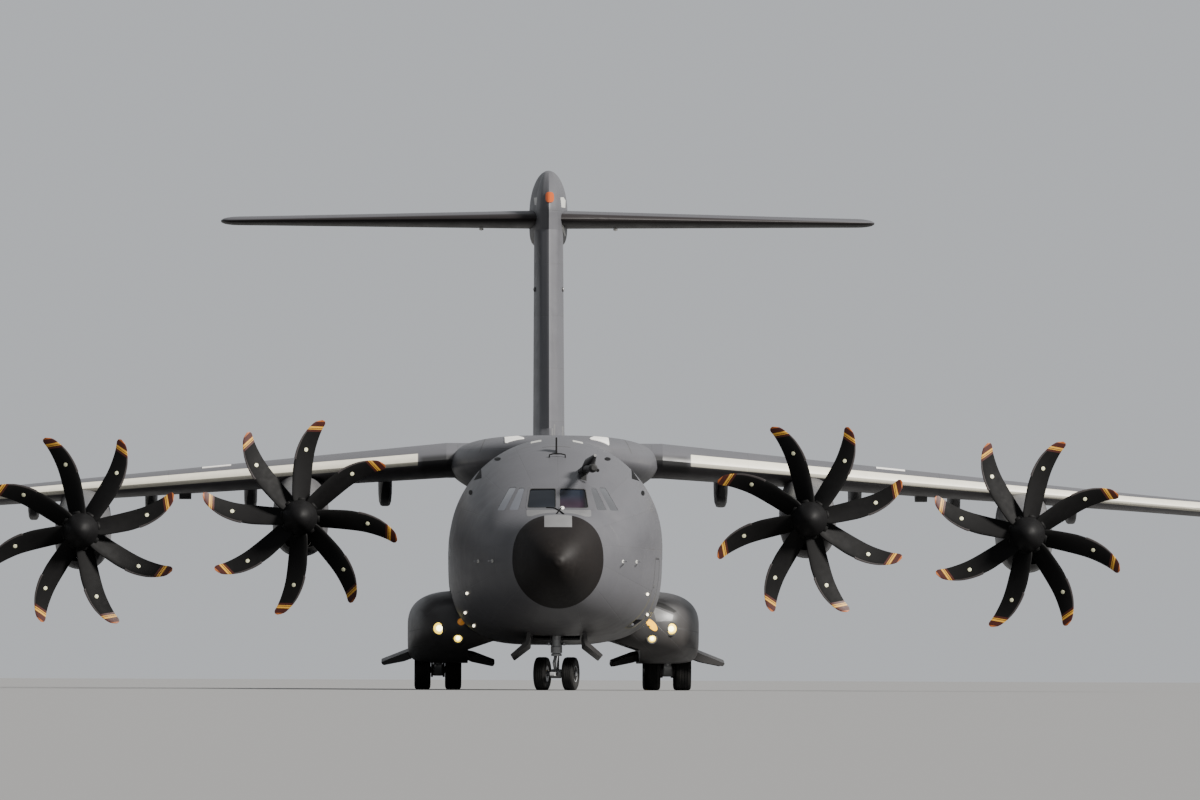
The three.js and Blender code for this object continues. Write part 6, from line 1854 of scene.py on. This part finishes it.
for number, (x, plane, axis, turn, lean) in ENGINES.items():
    cowl = nacelle(f"nacelle_{number}_cowl", x, plane, axis)
    place(cowl, AIRFRAME, "skin_composite", NACELLE_PAINT, f"nacelle_{number}")
    core = engine(f"engine_{number}_core", x, plane, axis)
    place(core, AIRFRAME, "engine", None, f"engine_{number}")
    blades = propeller(f"propeller_{number}_blades", x, plane, axis, turn, lean)
    place(blades, f"propeller_{number}", "blades", None, f"propeller_{number}")

# A small lamp in the chin of each cowl
CHIN_LAMP = {"side": 0.21, "drop": 0.54}
for number, (x, plane, axis, _, _) in ENGINES.items():
    at = (x + CHIN_LAMP["side"], plane + 0.12, axis - CHIN_LAMP["drop"])
    lens = turned(f"chin_lamp_{number}", [(-0.3, 0.03), (0.03, 0.03), (0.04, 0.005)], at, AHEAD, 20)
    place(lens, AIRFRAME, "windscreen", LAMP_SMALL)


# Lights, a painted glint on each wing's top, and static wicks on the wings and tail
def tip_light(name):
    around = wing_solid("around", 20.5, WING_TIP, 0.004)
    return common(box(name, 20.8, 21.12, 20.2, 20.98, 4.5, 4.9), around)


both_sides("tip_light", AIRFRAME, "windscreen", NAV_RED, None, tip_light)
painted(bpy.data.objects["tip_light_starboard"], NAV_GREEN)


# A white streak on the wing's top: a painted glint
def wing_strip(name):
    strip = prism(name, [(8.7, 17.2), (9.48, 17.45), (9.48, 17.75), (8.7, 17.5)], "z", 5.7, 6.3)
    common(strip, wing_solid("outer", 8, 10, 0.012))
    return carve(strip, wing_solid("inner", 7.9, 10.1, -0.01))


both_sides("wing_strip", AIRFRAME, "skin_composite", WHITE, None, wing_strip)


def wicks(name):
    feet = [chord_point(x, 0.985) for x in (20.55, 20.75, 20.95)]
    for x in (8.95, 9.08):
        front, chord, _ = tail_row(x)
        feet.append((x, front + 0.98 * chord, TAIL_Z))
    tips = [np.array(foot) + (0.02, 0.28, 0.0) for foot in feet]
    return assembled(name, [(bar("wick", *ends, 0.008, 0.004, 8), BLACK) for ends in zip(feet, tips)])


both_sides("static_wicks", AIRFRAME, "skin_composite", None, None, wicks)

# Refuelling probe over the cockpit, painted near black: painted shade of its underside and pylon
KNOB = [(0, 0.02), (0.02, 0.04), (0.08, 0.045), (0.12, 0.03)]
NOZZLE = [(0, 0.09), (0.02, 0.115), (0.2, 0.112), (0.22, 0.09), (0.27, 0.088), (0.3, 0.06)]
NOZZLE_BACK, NOZZLE_TIP = (0.895, 2.8, 5.8), (0.935, 2.5, 5.81)
pylon = rounded([(4.0, 5.2), (5.3, 5.2), (5.2, 5.75), (4.1, 5.85)], 0.15, 6)
parts = [
    (bar("mast", (0.6, 5.3, 5.66), (0.74, 3.9, 5.8), 0.14, 0.11, 32), PAINTED_SHADE_DARK),
    (bar("fairing", (0.55, 5.2, 5.5), (0.84, 4.1, 5.95), 0.07, 0.15, 32), PAINTED_SHADE_GREY),
    (bar("fairing", (0.84, 4.1, 5.95), (0.98, 3.5, 6.15), 0.15, 0.04, 32), PAINTED_SHADE_GREY),
    (turned("knob", KNOB, (1.04, 3.72, 5.76), (0.1, -1, 0), 24), BLACK),
    (bar("stalk", (0.8, 3.9, 5.84), (1.04, 3.7, 5.76), 0.022), BLACK),
    (bar("pipe", (0.74, 3.92, 5.8), (0.9, 2.75, 5.8), 0.085, sides=32), PAINTED_SHADE_DARK),
    (turned("nozzle", NOZZLE, NOZZLE_BACK, np.subtract(NOZZLE_TIP, NOZZLE_BACK), 40), PAINTED_SHADE_DARK),
    (prism("pylon", pylon, "x", 0.6, 0.76), PAINTED_SHADE_DARK),
]
place(assembled("refuelling_probe_arm", parts), AIRFRAME, "probe", None, "refuelling_probe")

# Nodes of the model that only need a material
painted(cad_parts["cargo_floor"], FLOOR_METAL)
painted(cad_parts["flight_deck"], CABIN)

# Floor, backdrop, light and camera
FLOOR_HALF = 700.0  # of the studio's floor, in frame metres
p = Paint("studio_floor", 0.8)
STUDIO = p.done(p.shade((0.115, 0.115, 0.115), p.noise(0.02, 2.0), 0.01))
mesh = bpy.data.meshes.new("studio_floor")
corners = rectangle(-FLOOR_HALF, FLOOR_HALF, -FLOOR_HALF, FLOOR_HALF)
mesh.from_pydata([(x, y, 0) for x, y in corners], [], [(0, 1, 2, 3)])
floor = bpy.data.objects.new("studio_floor", mesh)
bpy.context.collection.objects.link(floor)
painted(floor, STUDIO)

world = bpy.data.worlds.new("studio")
world.use_nodes = True
background = world.node_tree.nodes["Background"]
background.inputs["Color"].default_value = (0.62, 0.64, 0.67, 1)
background.inputs["Strength"].default_value = 0.85
bpy.context.scene.world = world


# The sun stands ahead of the plane and to port
SUN_TOWARD, SUN_SPREAD = (0.75, -0.5, 0.62), 12
light = bpy.data.lights.new("key_light", "SUN")
light.energy, light.angle, light.color = 16.0, math.radians(SUN_SPREAD), (1.0, 0.97, 0.92)
key = bpy.data.objects.new("key_light", light)
key.rotation_euler = Vector(SUN_TOWARD).to_track_quat("Z", "Y").to_euler()
bpy.context.collection.objects.link(key)

# The photograph's camera: a long lens near the ground, looking a little up
camera_data = bpy.data.cameras.new("camera")
camera_data.lens, camera_data.sensor_width = 512.2, 36.0
camera_data.clip_start, camera_data.clip_end = 1.0, 2500.0
camera = bpy.data.objects.new("camera", camera_data)
camera.location = (-1.75, -232.775, 0.175)
YAW, PITCH, ROLL = -0.0103, math.radians(90.93), math.radians(0.22)
turn = Matrix.Rotation(YAW, 4, "Z") @ Matrix.Rotation(PITCH, 4, "X") @ Matrix.Rotation(ROLL, 4, "Z")
camera.rotation_euler = turn.to_euler()
bpy.context.collection.objects.link(camera)
bpy.context.scene.camera = camera
